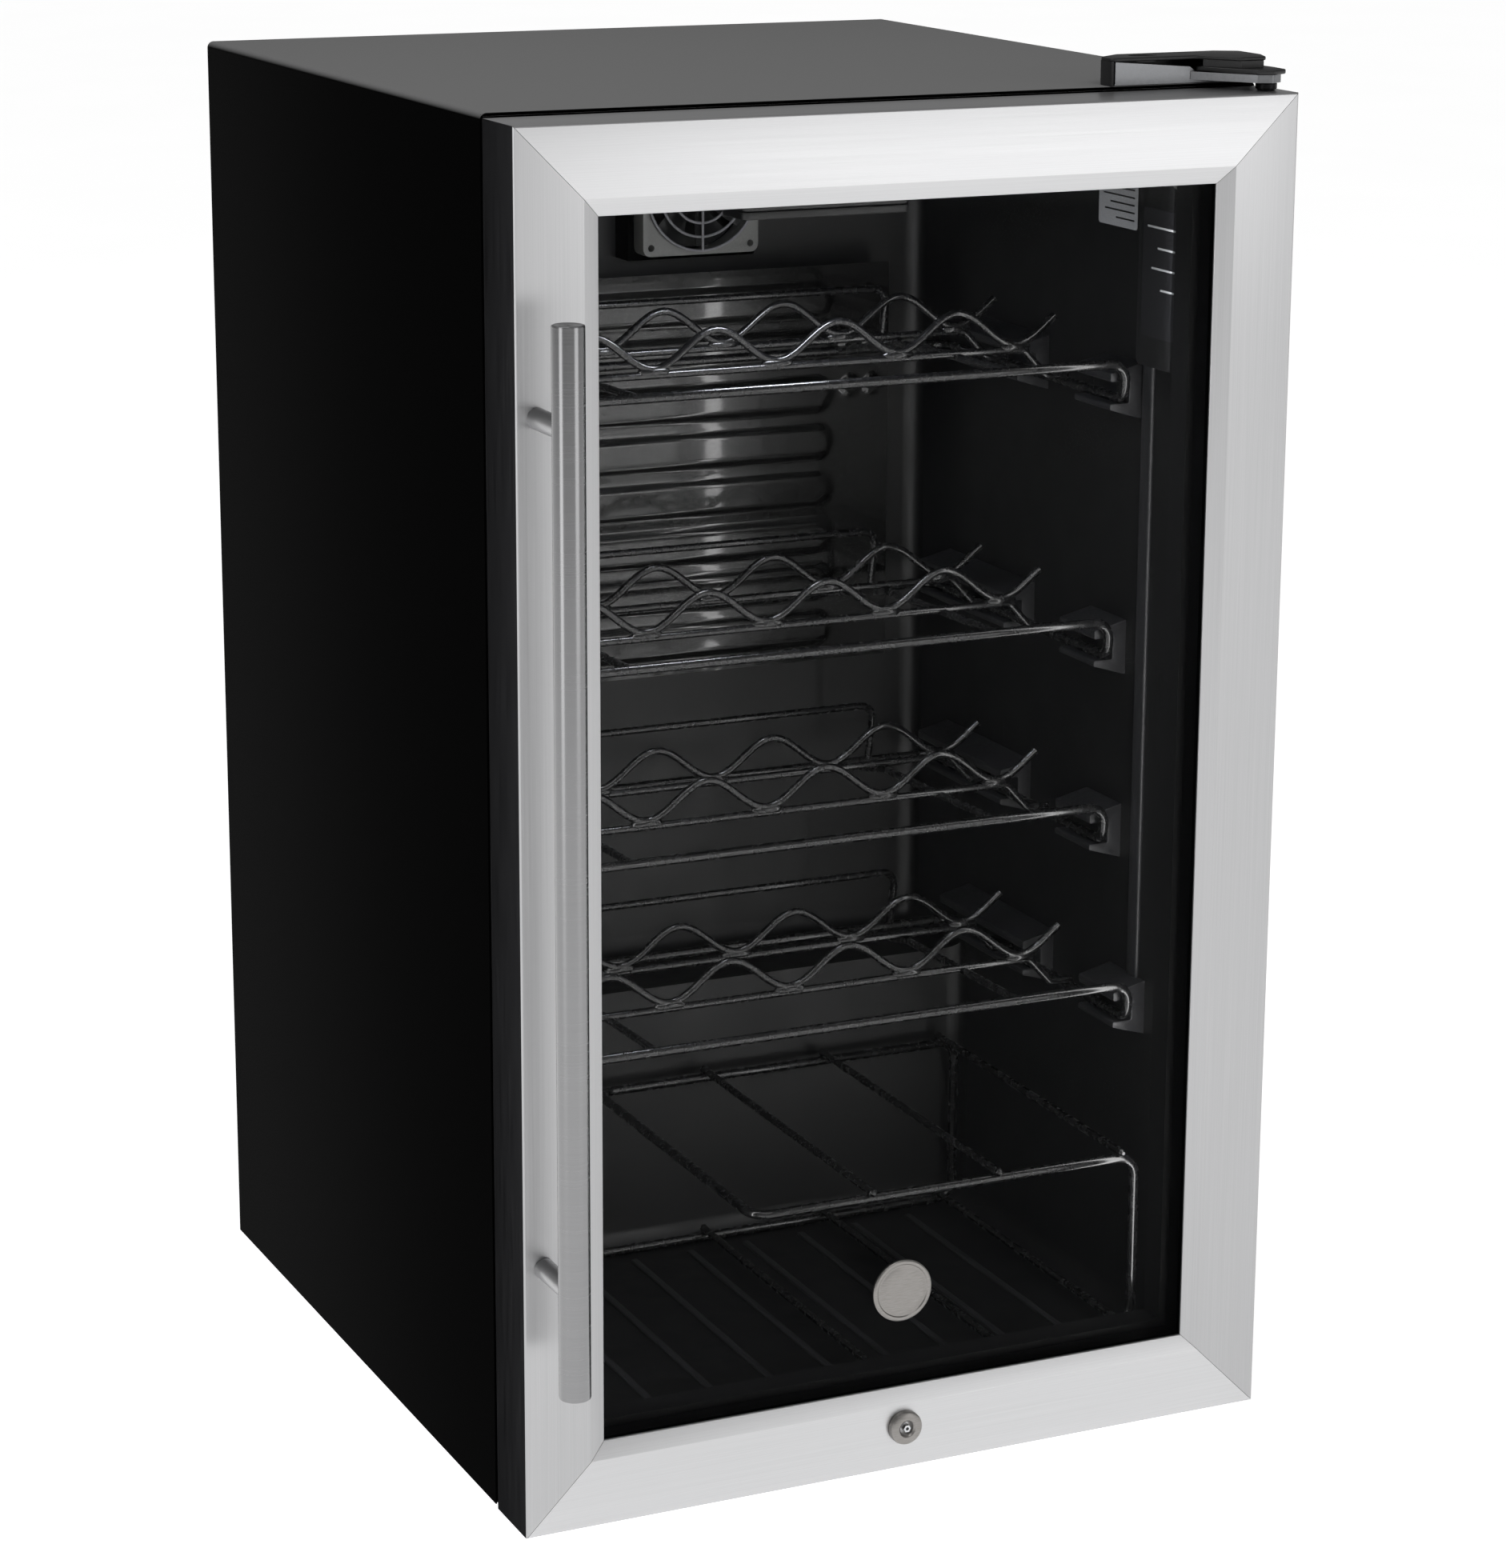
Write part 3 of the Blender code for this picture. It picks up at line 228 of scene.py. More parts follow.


# Painted light and shade: the rails get a lighter grey than the stiles and the handle a darker one,
# though all are one steel.
painted_lighter_rail_steel = brushed_stainless("brushed_stainless_sideways_painted_lighter", (0,), 2, ("#C8C8C9", "#CFCFD0"),
                               (0.30, 0.36))
stile_steel = brushed_stainless("brushed_stainless_upright", (2,), 0, ("#B0B0B1", "#B8B8B9"),
                                (0.30, 0.36))
painted_darker_handle_steel = brushed_stainless("brushed_stainless_bar_painted_darker", (0, 1), 2, ("#8C8C8D", "#929293"),
                                 (0.24, 0.28), relief_mm=0.0003)
# Painted shade: the door's outer sides get this dark, dull steel, standing in for a dark reflection.
painted_shade_side_steel = finish("painted_shade_side_stainless", "stainless",
                    { "Metallic": 1.0, "Specular Tint": linear("#585858")}, (1.5, 1.5, 60.0),
                    ("#3A3A3B", "#424243"), (0.34, 0.42), 0.003)
badge_steel = finish("satin_stainless_disc", "stainless", METAL, (6.0, 0.6, 0.6),
                     ("#8A8784", "#9A9794"), (0.34, 0.44), 0.004)
print("stainless scratches are", SCRATCH_MM, "mm wide and", SCRATCH_LENGTH_MM, "mm long")

# %% [markdown]
# ## The other metals
#
# Chromed steel is almost a mirror, with faint polishing marks. The top hinge's plate has satin
# nickel, which is greyer, and its pin and washers are blackened with hot oxide. Zinc-plated
# steel has a cloudy, spangled grey. Copper pipe is drawn, then tarnishes in patches. The hidden
# spacer between the panes is black anodised aluminium.

# %% Chrome, zinc, copper and aluminium
chrome = finish("bright_chromed_steel", "chrome", METAL, 4.0, ("#C4C5C7", "#D2D3D5"), (0.08, 0.16),
                0.01)
nickel = finish("satin_nickel_plate", "chrome", METAL, 4.0, ("#6E6F71", "#828385"), (0.28, 0.38),
                0.01)
black_oxide = finish("black_oxide_steel", "chrome", METAL, 2.0, ("#19191A", "#252526"),
                     (0.30, 0.40), 0.01)
zinc = finish("zinc_plated_steel", "zinc_steel", METAL, 9.0, ("#9B9C9E", "#B9BABC"), (0.30, 0.46),
              0.02)
copper = finish("drawn_copper_pipe", "copper", METAL, (7.0, 7.0, 12.0), ("#A9623F", "#D08A63"),
                (0.22, 0.42), 0.02)
spacer_alloy = finish("black_anodised_aluminium", "black_spacer", METAL, (0.8, 8.0, 8.0),
                      ("#1B1B1C", "#242426"), (0.35, 0.45), 0.01)
print("six plain metals made")

# %% [markdown]
# ## Black enamel on the cabinet
#
# The cabinet is pre-painted steel: a polyester enamel baked on the coil, with a fine leather-like
# orange peel about 1.2 mm across. The paint is black, but its roof catches the light from above,
# and that light is painted in: a pale grey is mixed into the colour by how far the surface faces
# upward, a painted highlight that is strong on the roof and compressor and faint on the condenser.

# %% Enamel
ENAMEL_GLOSS = 0.005


def enamel(name, slot, colours, painted_top_sheen_colour, painted_top_sheen_share):
    material = start_material(name, slot, {"Specular IOR Level": ENAMEL_GLOSS, "IOR": 1.2})
    colour = grain(material, (1.2, 1.2, 1.2), colours, (0.40, 0.50), 0.02, detail=2.0)
    tree = material.node_tree
    # Painted highlight: a pale grey mixed in by how far a face points up.
    facing = add_node(tree, "ShaderNodeNewGeometry", {})
    split = add_node(tree, "ShaderNodeSeparateXYZ", {"Vector": facing.outputs["Normal"]})
    share = add_node(tree, "ShaderNodeMapRange", {"Value": split.outputs["Z"], "From Min": 0.2,
                                                  "From Max": 1.0, "To Max": painted_top_sheen_share})
    with_top_sheen = add_node(tree, "ShaderNodeMix", {MIX_SHARE: share.outputs["Result"],
                                             MIX_FIRST: colour.outputs[MIX_RESULT],
                                             MIX_SECOND: linear(painted_top_sheen_colour)}, data_type="RGBA")
    tree.links.new(with_top_sheen.outputs[MIX_RESULT], tree.nodes["Principled BSDF"].inputs["Base Color"])
    return material


# The roof's pale grey is a painted highlight for the light from above, not dust.
cabinet_enamel = enamel("baked_black_enamel", "black_enamel", ("#030303", "#060606"), "#969696",
                        0.8)
coil_paint = enamel("black_wire_lacquer", "black_enamel", ("#0C0C0D", "#161617"), "#3A3A3A", 0.3)
print("enamel made, with dust on what faces up")

# %% [markdown]
# ## Plastics, rubber and foam
#
# The liner is high-impact polystyrene, formed by vacuum over a mould, which leaves it smooth with a
# slow waviness. Caps and covers are ABS from a spark-eroded mould, which prints a fine matt texture
# about 0.6 mm across. The door seal is soft PVC, matt and a little dusty. The foam never shows on a
# closed cooler, but it is there: pale, open polyurethane.

# %% Plastics
liner_plastic = finish("vacuum_formed_polystyrene", "liner_plastic", {"IOR": 1.55}, 22.0,
                       ("#060607", "#0B0B0C"), (0.38, 0.50), 0.06, detail=2.0)
rail_plastic = finish("moulded_rail_polystyrene", "liner_plastic", {"IOR": 1.55}, 3.0,
                      ("#1C1C1E", "#29292B"), (0.34, 0.46), 0.02)
black_abs = finish("textured_black_abs", "black_plastic", {"IOR": 1.53}, 0.6,
                   ("#0E0E0F", "#171718"), (0.38, 0.52), 0.03)
grey_abs = finish("moulded_grey_abs", "grey_plastic", {"IOR": 1.53}, 0.6, ("#6A6A67", "#7C7C79"),
                  (0.42, 0.55), 0.03)
rubber = finish("soft_pvc_seal", "black_rubber", {"IOR": 1.5}, 2.0, ("#121213", "#1F1F20"),
                (0.62, 0.80), 0.03)
foam = finish("open_polyurethane_foam", "foam", {}, 1.5, ("#CDBB8C", "#E2D2A6"), (0.85, 0.95), 0.4)
print("six plastics made")

# %% [markdown]
# ## Coated wire, the painted evaporator and the fan's guard
#
# Shelf wire is dipped in black polyethylene, which flows out glossy with soft lumps at the welds.
# The evaporator is two aluminium sheets bonded and blown up into channels, under a thick gloss
# black lacquer. The guard's wire is sprayed a satin grey.

# %% Coatings
coated_wire = finish("dipped_polyethylene_wire", "coated_wire",
                     {"IOR": 1.52, "Coat Weight": 0.4, "Coat Roughness": 0.12}, 5.0,
                     ("#0F0F10", "#19191A"), (0.20, 0.32), 0.008)
gloss_lacquer = finish("gloss_black_lacquer", "coated_alloy",
                       {"IOR": 1.55, "Coat Weight": 0.6, "Coat Roughness": 0.05}, 3.0,
                       ("#060606", "#0C0C0C"), (0.16, 0.26), 0.03)
guard_paint = finish("satin_grey_spray", "guard_wire", {"IOR": 1.5}, 1.5, ("#77777A", "#8B8B8E"),
                     (0.35, 0.48), 0.02)
print("three coatings made")

# %% [markdown]
# ## Glass
#
# A pane reflects a little light and lets the rest straight through, since its faces are parallel.
# Bending the light as a solid lump of glass does would only darken the inside. So the pane is a
# faint mirror whose share grows at a slant, and it is clear for the rest. The share goes by how far
# a face turns from the eye, because the refraction formula would call its back face a full mirror.
# A faint smear of cleaning streaks varies the share.

# %% Panes, the lamp's lens and the display
pane = start_material("float_glass_pane", "clear_glass", {"Metallic": 1.0, "Roughness": 0.02,
                                                          "Base Color": linear("#E9F0EE")})
pane_tree = pane.node_tree
slant = add_node(pane_tree, "ShaderNodeLayerWeight", {"Blend": 0.5})
spot = add_node(pane_tree, "ShaderNodeTexCoord", {})
stretch = add_node(pane_tree, "ShaderNodeMapping", {"Vector": spot.outputs["Object"],
                                                    "Scale": (9.0, 9.0, 2.0)})
smear = add_node(pane_tree, "ShaderNodeTexNoise", {"Vector": stretch.outputs["Vector"],
                                                   "Scale": 1.0, "Detail": 3.0})
PANE_SHARE = (0.0004, 0.30)
SLANT_POWER = 4.0
steeper = add_node(pane_tree, "ShaderNodeMath", {0: slant.outputs["Facing"], 1: SLANT_POWER},
                   operation="POWER")
share = add_node(pane_tree, "ShaderNodeMapRange", {"Value": steeper.outputs["Value"],
                                                   "To Min": PANE_SHARE[0],
                                                   "To Max": PANE_SHARE[1]})
patchy = add_node(pane_tree, "ShaderNodeMapRange", {"Value": smear.outputs["Fac"],
                                                    "To Min": 0.6, "To Max": 1.4})
product = add_node(pane_tree, "ShaderNodeMath", {0: share.outputs["Result"],
                                                 1: patchy.outputs["Result"]}, operation="MULTIPLY")
pane_tree.links.new(product.outputs["Value"], pane_tree.nodes["Principled BSDF"].inputs["Alpha"])

lens_plastic = finish("frosted_acrylic_lens", "frosted_lens",
                      {"IOR": 1.49, "Emission Color": linear("#F4F7FF"),
                       "Emission Strength": 0.25},
                      1.0, ("#C9CACC", "#DADBDD"), (0.45, 0.6), 0.02)
display_glass = finish("smoked_acrylic_window", "display_window", {"IOR": 1.49}, 4.0,
                       ("#08080A", "#0D0D10"), (0.06, 0.12), 0.005)
label_film = finish("printed_polyester_label", "black_plastic", {"IOR": 1.6}, 3.0,
                    ("#1A1A1C", "#232326"), (0.28, 0.36), 0.01)
label_ink = finish("pale_label_ink", "grey_plastic", {"IOR": 1.5}, 1.0, ("#A9ABAE", "#BDBFC2"),
                   (0.45, 0.55), 0.01)
print("pane mirrors between", PANE_SHARE, "of the light")

# %% [markdown]
# ## Mesh helpers
#
# Most pieces come from four ways of working: wire bent along a path, a profile turned in a lathe,
# a sheet cut to an outline and then rounded at its edges, and a profile carried round a frame with
# mitred corners. Each is one short function that returns a mesh.

# %% Paths and meshes
TURN = {"Z": Matrix.Identity(4),
        "Y": Matrix.Rotation(math.radians(90), 4, "X"),
        "X": Matrix.Rotation(math.radians(90), 4, "Y")}
LIE = {"XY": Matrix.Identity(4),
       "XZ": Matrix(((1, 0, 0, 0), (0, 0, -1, 0), (0, 1, 0, 0), (0, 0, 0, 1))),
       "YZ": Matrix(((0, 0, 1, 0), (1, 0, 0, 0), (0, 1, 0, 0), (0, 0, 0, 1)))}
WELD = 1e-6


def rounded(points, radius, steps=6, closed=False):
    """The points with each corner replaced by an arc."""
    points = [Vector((*p, 0.0)) if len(p) == 2 else Vector(p) for p in points]
    out = []
    for i, corner in enumerate(points):
        if not closed and i in (0, len(points) - 1):
            out.append(corner)
            continue
        before = points[i - 1] - corner
        after = points[(i + 1) % len(points)] - corner
        reach = min(before.length, after.length) * 0.49
        before.normalize()
        after.normalize()
        half = before.angle(after) / 2
        if half > math.radians(88):
            out.append(corner)
            continue
        tangent = min(radius / math.tan(half), reach)
        bend_radius = tangent * math.tan(half)
        middle = (before + after).normalized() * (bend_radius / math.sin(half))
        start, stop = before * tangent - middle, after * tangent - middle
        for step in range(steps + 1):
            out.append(corner + middle + start.slerp(stop, step / steps).normalized() * bend_radius)
    return out


def ring(centre, radius, steps=48):
    """A circle's points in a flat outline."""
    return [(centre[0] + radius * math.cos(math.tau * i / steps),
             centre[1] + radius * math.sin(math.tau * i / steps)) for i in range(steps)]


def box_outline(x, y):
    return [(x[0], y[0]), (x[1], y[0]), (x[1], y[1]), (x[0], y[1])]


def closed(bm, name, mesh=None):
    """The mesh of a bmesh, which is freed."""
    mesh = mesh or bpy.data.meshes.new(name)
    bm.to_mesh(mesh)
    bm.free()
    return mesh


def soft_box(x, y, radius, steps=5):
    """A rectangle's outline with round corners."""
    return rounded(box_outline(x, y), radius, steps, closed=True)


def evaluated(data, modifiers=(), dissolve=False):
    """The mesh that a curve, or a mesh with modifiers, comes out as, with its seams welded."""
    carrier = bpy.data.objects.new("carrier", data)
    scene.collection.objects.link(carrier)
    for kind, settings in modifiers:
        modifier = carrier.modifiers.new(kind, kind)
        for name, value in settings.items():
            setattr(modifier, name, value)
    bpy.context.view_layer.update()
    mesh = bpy.data.meshes.new_from_object(
        carrier.evaluated_get(bpy.context.evaluated_depsgraph_get()))
    bpy.data.objects.remove(carrier, do_unlink=True)
    bm = bmesh.new()
    bm.from_mesh(mesh)
    bmesh.ops.remove_doubles(bm, verts=bm.verts, dist=WELD)
    if dissolve:
        bmesh.ops.dissolve_limit(bm, angle_limit=0.001, verts=bm.verts, edges=bm.edges)
    bmesh.ops.recalc_face_normals(bm, faces=bm.faces)
    return closed(bm, "evaluated", mesh)


def wires(runs, sides=12):
    """Round wire: each run is (points, radius or one radius for each point, closed)."""
    curve = bpy.data.curves.new("wires", "CURVE")
    curve.dimensions = "3D"
    curve.bevel_depth = 1.0
    curve.bevel_resolution = (sides - 4) // 2
    curve.use_fill_caps = True
    for points, radius, closed in runs:
        spline = curve.splines.new("POLY")
        spline.points.add(len(points) - 1)
        for i, (target, point) in enumerate(zip(spline.points, points)):
            target.co = (*point, 1.0)
            target.radius = radius[i] if isinstance(radius, list) else radius
        spline.use_cyclic_u = closed
    return evaluated(curve)


def lathe(profile, centre, axis="Z", steps=48):
    """A profile of (radius, along) turned about an axis. Along Y, positive is to the front."""
    bm = bmesh.new()
    verts = [bm.verts.new((radius, 0.0, along)) for radius, along in profile]
    edges = [bm.edges.new(pair) for pair in zip(verts, verts[1:])]
    bmesh.ops.spin(bm, geom=verts + edges, cent=(0, 0, 0), axis=(0, 0, 1), angle=math.tau,
                   steps=steps, use_merge=True)
    bmesh.ops.remove_doubles(bm, verts=bm.verts, dist=WELD)
    bmesh.ops.recalc_face_normals(bm, faces=bm.faces)
    bm.transform(Matrix.Translation(centre) @ TURN[axis])
    return closed(bm, "turned")


def sheet(outlines, plane, low, high, edge=0.0):
    """A flat piece cut to outlines, the later ones being holes, with its edges rounded by edge."""
    curve = bpy.data.curves.new("sheet", "CURVE")
    curve.dimensions = "2D"
    curve.fill_mode = "BOTH"
    curve.extrude = (high - low) / 2
    for outline in outlines:
        spline = curve.splines.new("POLY")
        spline.points.add(len(outline) - 1)
        for target, point in zip(spline.points, outline):
            target.co = (point[0], point[1], 0.0, 1.0)
        spline.use_cyclic_u = True
    mesh = evaluated(curve, dissolve=True)
    if edge:
        mesh = evaluated(mesh, [("BEVEL", {"width": edge, "segments": 3, "limit_method": "ANGLE",
                                           "angle_limit": math.radians(50)})])
    middle = (low + high) / 2
    offset = {"XY": at(0, 0, middle), "XZ": at(0, middle, 0), "YZ": at(middle, 0, 0)}[plane]
    mesh.transform(Matrix.Translation(offset) @ LIE[plane])
    return mesh


def brick(x, depth, height, edge):
    """A rounded box from its low and high values."""
    return sheet([box_outline(x, depth)], "XY", *height, edge)


def round_frame(x, height, profile):
    """A profile of (inwards, depth) carried round an upright rectangle, with mitred corners."""
    bm = bmesh.new()
    corners = ((x[0], height[0], 1, 1), (x[1], height[0], -1, 1),
               (x[1], height[1], -1, -1), (x[0], height[1], 1, -1))
    loops = [[bm.verts.new(at(px + sx * inwards, depth, pz + sz * inwards))
              for inwards, depth in profile] for px, pz, sx, sz in corners]
    for i in range(4):
        here, following = loops[i], loops[(i + 1) % 4]
        for j in range(len(profile)):
            k = (j + 1) % len(profile)
            bm.faces.new((here[j], here[k], following[k], following[j]))
    bmesh.ops.recalc_face_normals(bm, faces=bm.faces)
    return closed(bm, "round_frame")


def cut(mesh, *shapes):
    """The mesh with closed shapes cut out of it."""
    cutters = []
    for shape in shapes:
        cutter = bpy.data.objects.new("cutter", shape)
        scene.collection.objects.link(cutter)
        cutters.append(cutter)
    rest = evaluated(mesh, [("BOOLEAN", {"object": cutter, "operation": "DIFFERENCE",
                                         "solver": "EXACT"}) for cutter in cutters])
    for cutter in cutters:
        bpy.data.objects.remove(cutter, do_unlink=True)
    return rest


def relief(corner, across, up, steps, raised):
    """A grid from a corner along two edges, pushed out by raised(s, t) metres on its front side."""
    normal = across.cross(up).normalized()
    points = []
    for j in range(steps[1] + 1):
        for i in range(steps[0] + 1):
            s, t = i / steps[0], j / steps[1]
            push = normal * raised(s * across.length, t * up.length)
            points.append(corner + across * s + up * t + push)
    row = steps[0] + 1
    faces = [(j * row + i, j * row + i + 1, (j + 1) * row + i + 1, (j + 1) * row + i)
             for j in range(steps[1]) for i in range(steps[0])]
    mesh = bpy.data.meshes.new("relief")
    mesh.from_pydata(points, [], faces)
    return mesh


def combined(*meshes):
    """Several meshes as one."""
    bm = bmesh.new()
    for mesh in meshes:
        bm.from_mesh(mesh)
    return closed(bm, "combined")


def piece(name, mesh, material, body, *replaced, sharp=35):
    """A finished piece: shaded smooth, given its material, its body and the nodes it stands for."""
    mesh.name = name
    obj = bpy.data.objects.new(name, mesh)
    scene.collection.objects.link(obj)
    mesh.materials.clear()
    mesh.materials.append(material)
    mesh.shade_smooth()
    mesh.set_sharp_from_angle(angle=math.radians(sharp))
    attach(obj, body)
    if replaced:
        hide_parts(*replaced)
    return obj


def repaint(material, *nodes):
    """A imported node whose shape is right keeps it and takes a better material."""
    for node in nodes:
        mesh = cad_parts[node].data
        mesh.materials.clear()
        mesh.materials.append(material)


print("helpers ready")

# %% [markdown]
# ## The door's steel frame
#
# Each side of the frame is one strip of 0.8 mm stainless, folded round the door's edge, laid flat
# across the front and then sloped back to the glass. A folded edge is never sharp: the press leaves
# a radius of about the sheet's own thickness. The section is drawn once, with arcs at its folds,
# and stretched along each side, and its ends are cut back by their distance from the door's edge,
# which is a mitre. The top and bottom rails are punched for the hinge bushes, and the bottom one
# has a slot that the lock's cam swings down through.

# %% Frame rails
RAIL = spans("door_rail_top")
RAIL_WIDTH = DOOR_TOP - RAIL[2][0]
BEVEL_WIDTH = 0.010
STEP = 0.0045
SKIN = 0.0012
BEND_RADIUS = 0.0012
MITRE_GAP = 0.0003
flat = RAIL_WIDTH - BEVEL_WIDTH
door_back = RAIL[1][1]


def fold_section():
    """The folded strip's outline, as (inwards from the door's edge, depth)."""
    outer = rounded([(0, door_back), (0, 0), (flat, 0), (RAIL_WIDTH, STEP),
                     (RAIL_WIDTH, STEP + SKIN)], BEND_RADIUS, 5)
    inner = [(flat, SKIN), (SKIN, SKIN), (SKIN, door_back)]
    return [(p.x, p.y) for p in outer] + inner


def folded_rail(length, inwards, edge):
    """The section stretched along one side of the door, with its ends mitred."""
    section = fold_section()
    bm = bmesh.new()
    ends = []
    for end in (-1, 1):
        ends.append([bm.verts.new((u, depth, end * (length / 2 - u - MITRE_GAP / 2)))
                     for u, depth in section])
    for j in range(len(section)):
        k = (j + 1) % len(section)
        bm.faces.new((ends[0][j], ends[0][k], ends[1][k], ends[1][j]))
    for loop in ends:
        bm.faces.new(loop)
    bmesh.ops.recalc_face_normals(bm, faces=bm.faces)
    back = Vector((0, 1, 0))
    turn = Matrix((inwards, back, inwards.cross(back))).transposed().to_4x4()
    bm.transform(Matrix.Translation(edge) @ turn)
    return closed(bm, "rail")


UP, RIGHT = Vector((0, 0, 1)), Vector((1, 0, 0))
SIDES = (("door_rail_top", 2 * DOOR_HALF, -UP, at(0, 0, DOOR_TOP), painted_lighter_rail_steel),
         ("door_rail_bottom", 2 * DOOR_HALF, UP, at(0, 0, 0), painted_lighter_rail_steel),
         ("door_stile_left", DOOR_TOP, RIGHT, at(-DOOR_HALF, 0, DOOR_TOP / 2), stile_steel),
         ("door_stile_right", DOOR_TOP, -RIGHT, at(DOOR_HALF, 0, DOOR_TOP / 2), stile_steel))
CUT_REACH = 0.004
CAM_SLOT = ((-0.0213, 0.0063), (0.0331, 0.0372))


def bush_hole(node):
    """The round hole that a hinge bush sits in."""
    bush = spans(node)
    radius = half_of(bush[0]) + 0.0002
    low, high = bush[2][0] - CUT_REACH, bush[2][1] + CUT_REACH
    return lathe([(0.0, low), (radius, low), (radius, high), (0.0, high)],
                 at(middle_of(bush[0]), middle_of(bush[1]), 0), steps=32)


HOLES = {"door_rail_top": [bush_hole("top_hinge_bush")],
         "door_rail_bottom": [bush_hole("lower_hinge_bush"),
                              brick(*CAM_SLOT, (-CUT_REACH, CUT_REACH), 0.0)]}
for node, length, inwards, edge, steel in SIDES:
    mesh = folded_rail(length, inwards, edge)
    if node in HOLES:
        mesh = cut(mesh, *HOLES[node])
    rail = piece("brushed_" + node, mesh, steel, "door", node, sharp=25)
    # Painted shade: faces on the door's outer sides take the dark steel.
    rail.data.materials.append(painted_shade_side_steel)
    for face in rail.data.polygons:
        if abs(face.normal.x) > 0.9 and abs(face.center.x) > DOOR_HALF - 0.0004:
            face.material_index = 1
print("four rails,", round(RAIL_WIDTH * 1000), "mm wide, sheet", SKIN * 1000, "mm")

# %% [markdown]
# ## Panes, seal and door core
#
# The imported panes, spacer and core have the right shape, so they only change their material. The
# seal is a hollow PVC extrusion: a foot pressed into the door's groove, a bellows, and a lip with a
# magnet in it that meets the cabinet. It is one section carried round the door.

# %% Glazing and seal
repaint(pane, "glass_outer", "glass_inner")
repaint(spacer_alloy, "glass_spacer")
repaint(black_abs, "door_core")
SEAL = spans("door_gasket")
seal_front, seal_back = SEAL[1]
seal_width = 0.016
seal_section = rounded([(0.0030, seal_front), (seal_width - 0.0030, seal_front),
                        (seal_width - 0.0030, seal_front + 0.0022),
                        (seal_width - 0.0010, seal_front + 0.0034),
                        (seal_width, seal_back - 0.0012),
                        (seal_width - 0.0012, seal_back), (0.0012, seal_back),
                        (0.0, seal_back - 0.0012), (0.0010, seal_front + 0.0034),
                        (0.0030, seal_front + 0.0022)], 0.0008, 3, closed=True)
piece("bellows_seal", round_frame(SEAL[0], SEAL[2], [(p.x, p.y) for p in seal_section]), rubber,
      "door", "door_gasket")
print("seal is", round((seal_back - seal_front) * 1000, 1), "mm deep")

# %% [markdown]
# ## Handle, badge and lock
#
# The handle is an 18 mm bar sawn and faced in a lathe, so it ends in a small chamfer and a flat
# with a faint turning mark. Its two posts are 12 mm rod, screwed on from inside the door. The lock
# is a turned barrel with a flanged face; the plug inside it has a hexagonal post for the key.

# %% Handle and posts
bar = spans("handle_bar")
bar_x, bar_depth = middle_of(bar[0]), middle_of(bar[1])
bar_radius = half_of(bar[0])
bar_low, bar_high = bar[2]
end_profile = [(0.0, 0.0), (0.0012, -0.0003), (0.0070, -0.0001), (bar_radius - 0.0009, 0.0),
               (bar_radius - 0.0002, -0.0003), (bar_radius, -0.0011)]
bar_profile = ([(r, bar_high + z) for r, z in end_profile]
               + [(r, bar_low - z) for r, z in reversed(end_profile)])
piece("turned_handle_bar", lathe(bar_profile, at(bar_x, bar_depth, 0), steps=72), painted_darker_handle_steel,
      "door", "handle_bar", sharp=40)
for node in ("handle_post_lower", "handle_post_upper"):
    post = spans(node)
    height = middle_of(post[2])
    radius = half_of(post[0])
    reach = -bar_depth
    post_profile = [(0.0, reach - 0.004), (radius, reach - 0.004), (radius, 0.0012),
                    (radius - 0.0005, 0.0007), (radius - 0.0005, -post[1][1]), (0.0, -post[1][1])]
    piece("turned_" + node, lathe(post_profile, at(bar_x, 0, height), "Y"), stile_steel,
          "door", node)
print("handle bar", round((bar_high - bar_low) * 1000), "mm long on two posts")

# %% Badge
badge = spans("round_badge")
badge_radius = half_of(badge[0])
badge_front, badge_back = badge[1]
badge_profile = [(0.0, 0.0002), (0.010, 0.0001), (badge_radius - 0.0045, -0.0004),
                 (badge_radius - 0.0038, -0.0007), (badge_radius - 0.0030, -0.0006),
                 (badge_radius - 0.0024, 0.0), (badge_radius - 0.0008, 0.0),
                 (badge_radius, -0.0006), (badge_radius, badge_front - badge_back + 0.0001),
                 (0.0, badge_front - badge_back + 0.0001)]
badge_centre = at(0, badge_front + 0.0002, middle_of(badge[2]))
piece("plain_badge", lathe(badge_profile, badge_centre, "Y", 64), badge_steel, "door",
      "round_badge")
print("badge is", round(badge_radius * 2000), "mm across and has no mark on it")

# %% Lock
barrel = spans("lock_barrel")
plug = spans("lock_plug")
lock_height = middle_of(plug[2])
face_radius = half_of(barrel[0])
proud = -barrel[1][0]
bore = 0.0043
barrel_profile = [(bore, -0.0005), (bore, proud - 0.0012), (bore + 0.0007, proud - 0.0003),
                  (bore + 0.0012, proud), (face_radius - 0.0012, proud - 0.0003),
                  (face_radius - 0.0003, proud - 0.0010), (face_radius, proud - 0.0020),
                  (face_radius, 0.0003), (0.0074, 0.0003), (0.0074, -barrel[1][1]),
                  (bore, -barrel[1][1]), (bore, -0.0005)]
piece("turned_lock_barrel", lathe(barrel_profile, at(0, 0, lock_height), "Y", 56), badge_steel,
      "door", "lock_barrel")
plug_radius = half_of(plug[0])
plug_profile = [(0.0, -0.0006), (plug_radius - 0.0004, -0.0006), (plug_radius, -0.0010),
                (plug_radius, -plug[1][1]), (0.0, -plug[1][1])]
hexagon = ring((0, lock_height), 0.0024, 6)
key_post = sheet([hexagon, list(reversed(ring((0, lock_height), 0.0010, 16)))], "XZ",
                 plug[1][0] + 0.0002, 0.001, 0.0002)
piece("key_plug", combined(lathe(plug_profile, at(0, 0, lock_height), "Y", 40), key_post), chrome,
      "lock", "lock_plug")
repaint(zinc, "lock_cam", "lock_strike")
print("lock face", round(face_radius * 2000, 1), "mm across and", round(proud * 1000, 1),
      "mm proud")

# %% [markdown]
# ## The cabinet's wrapper
#
# The wrapper is one sheet of painted steel, folded down at both sides of the roof round a 4 mm
# radius. Its front edge is hemmed, so what the eye meets is a round edge and not a cut one.

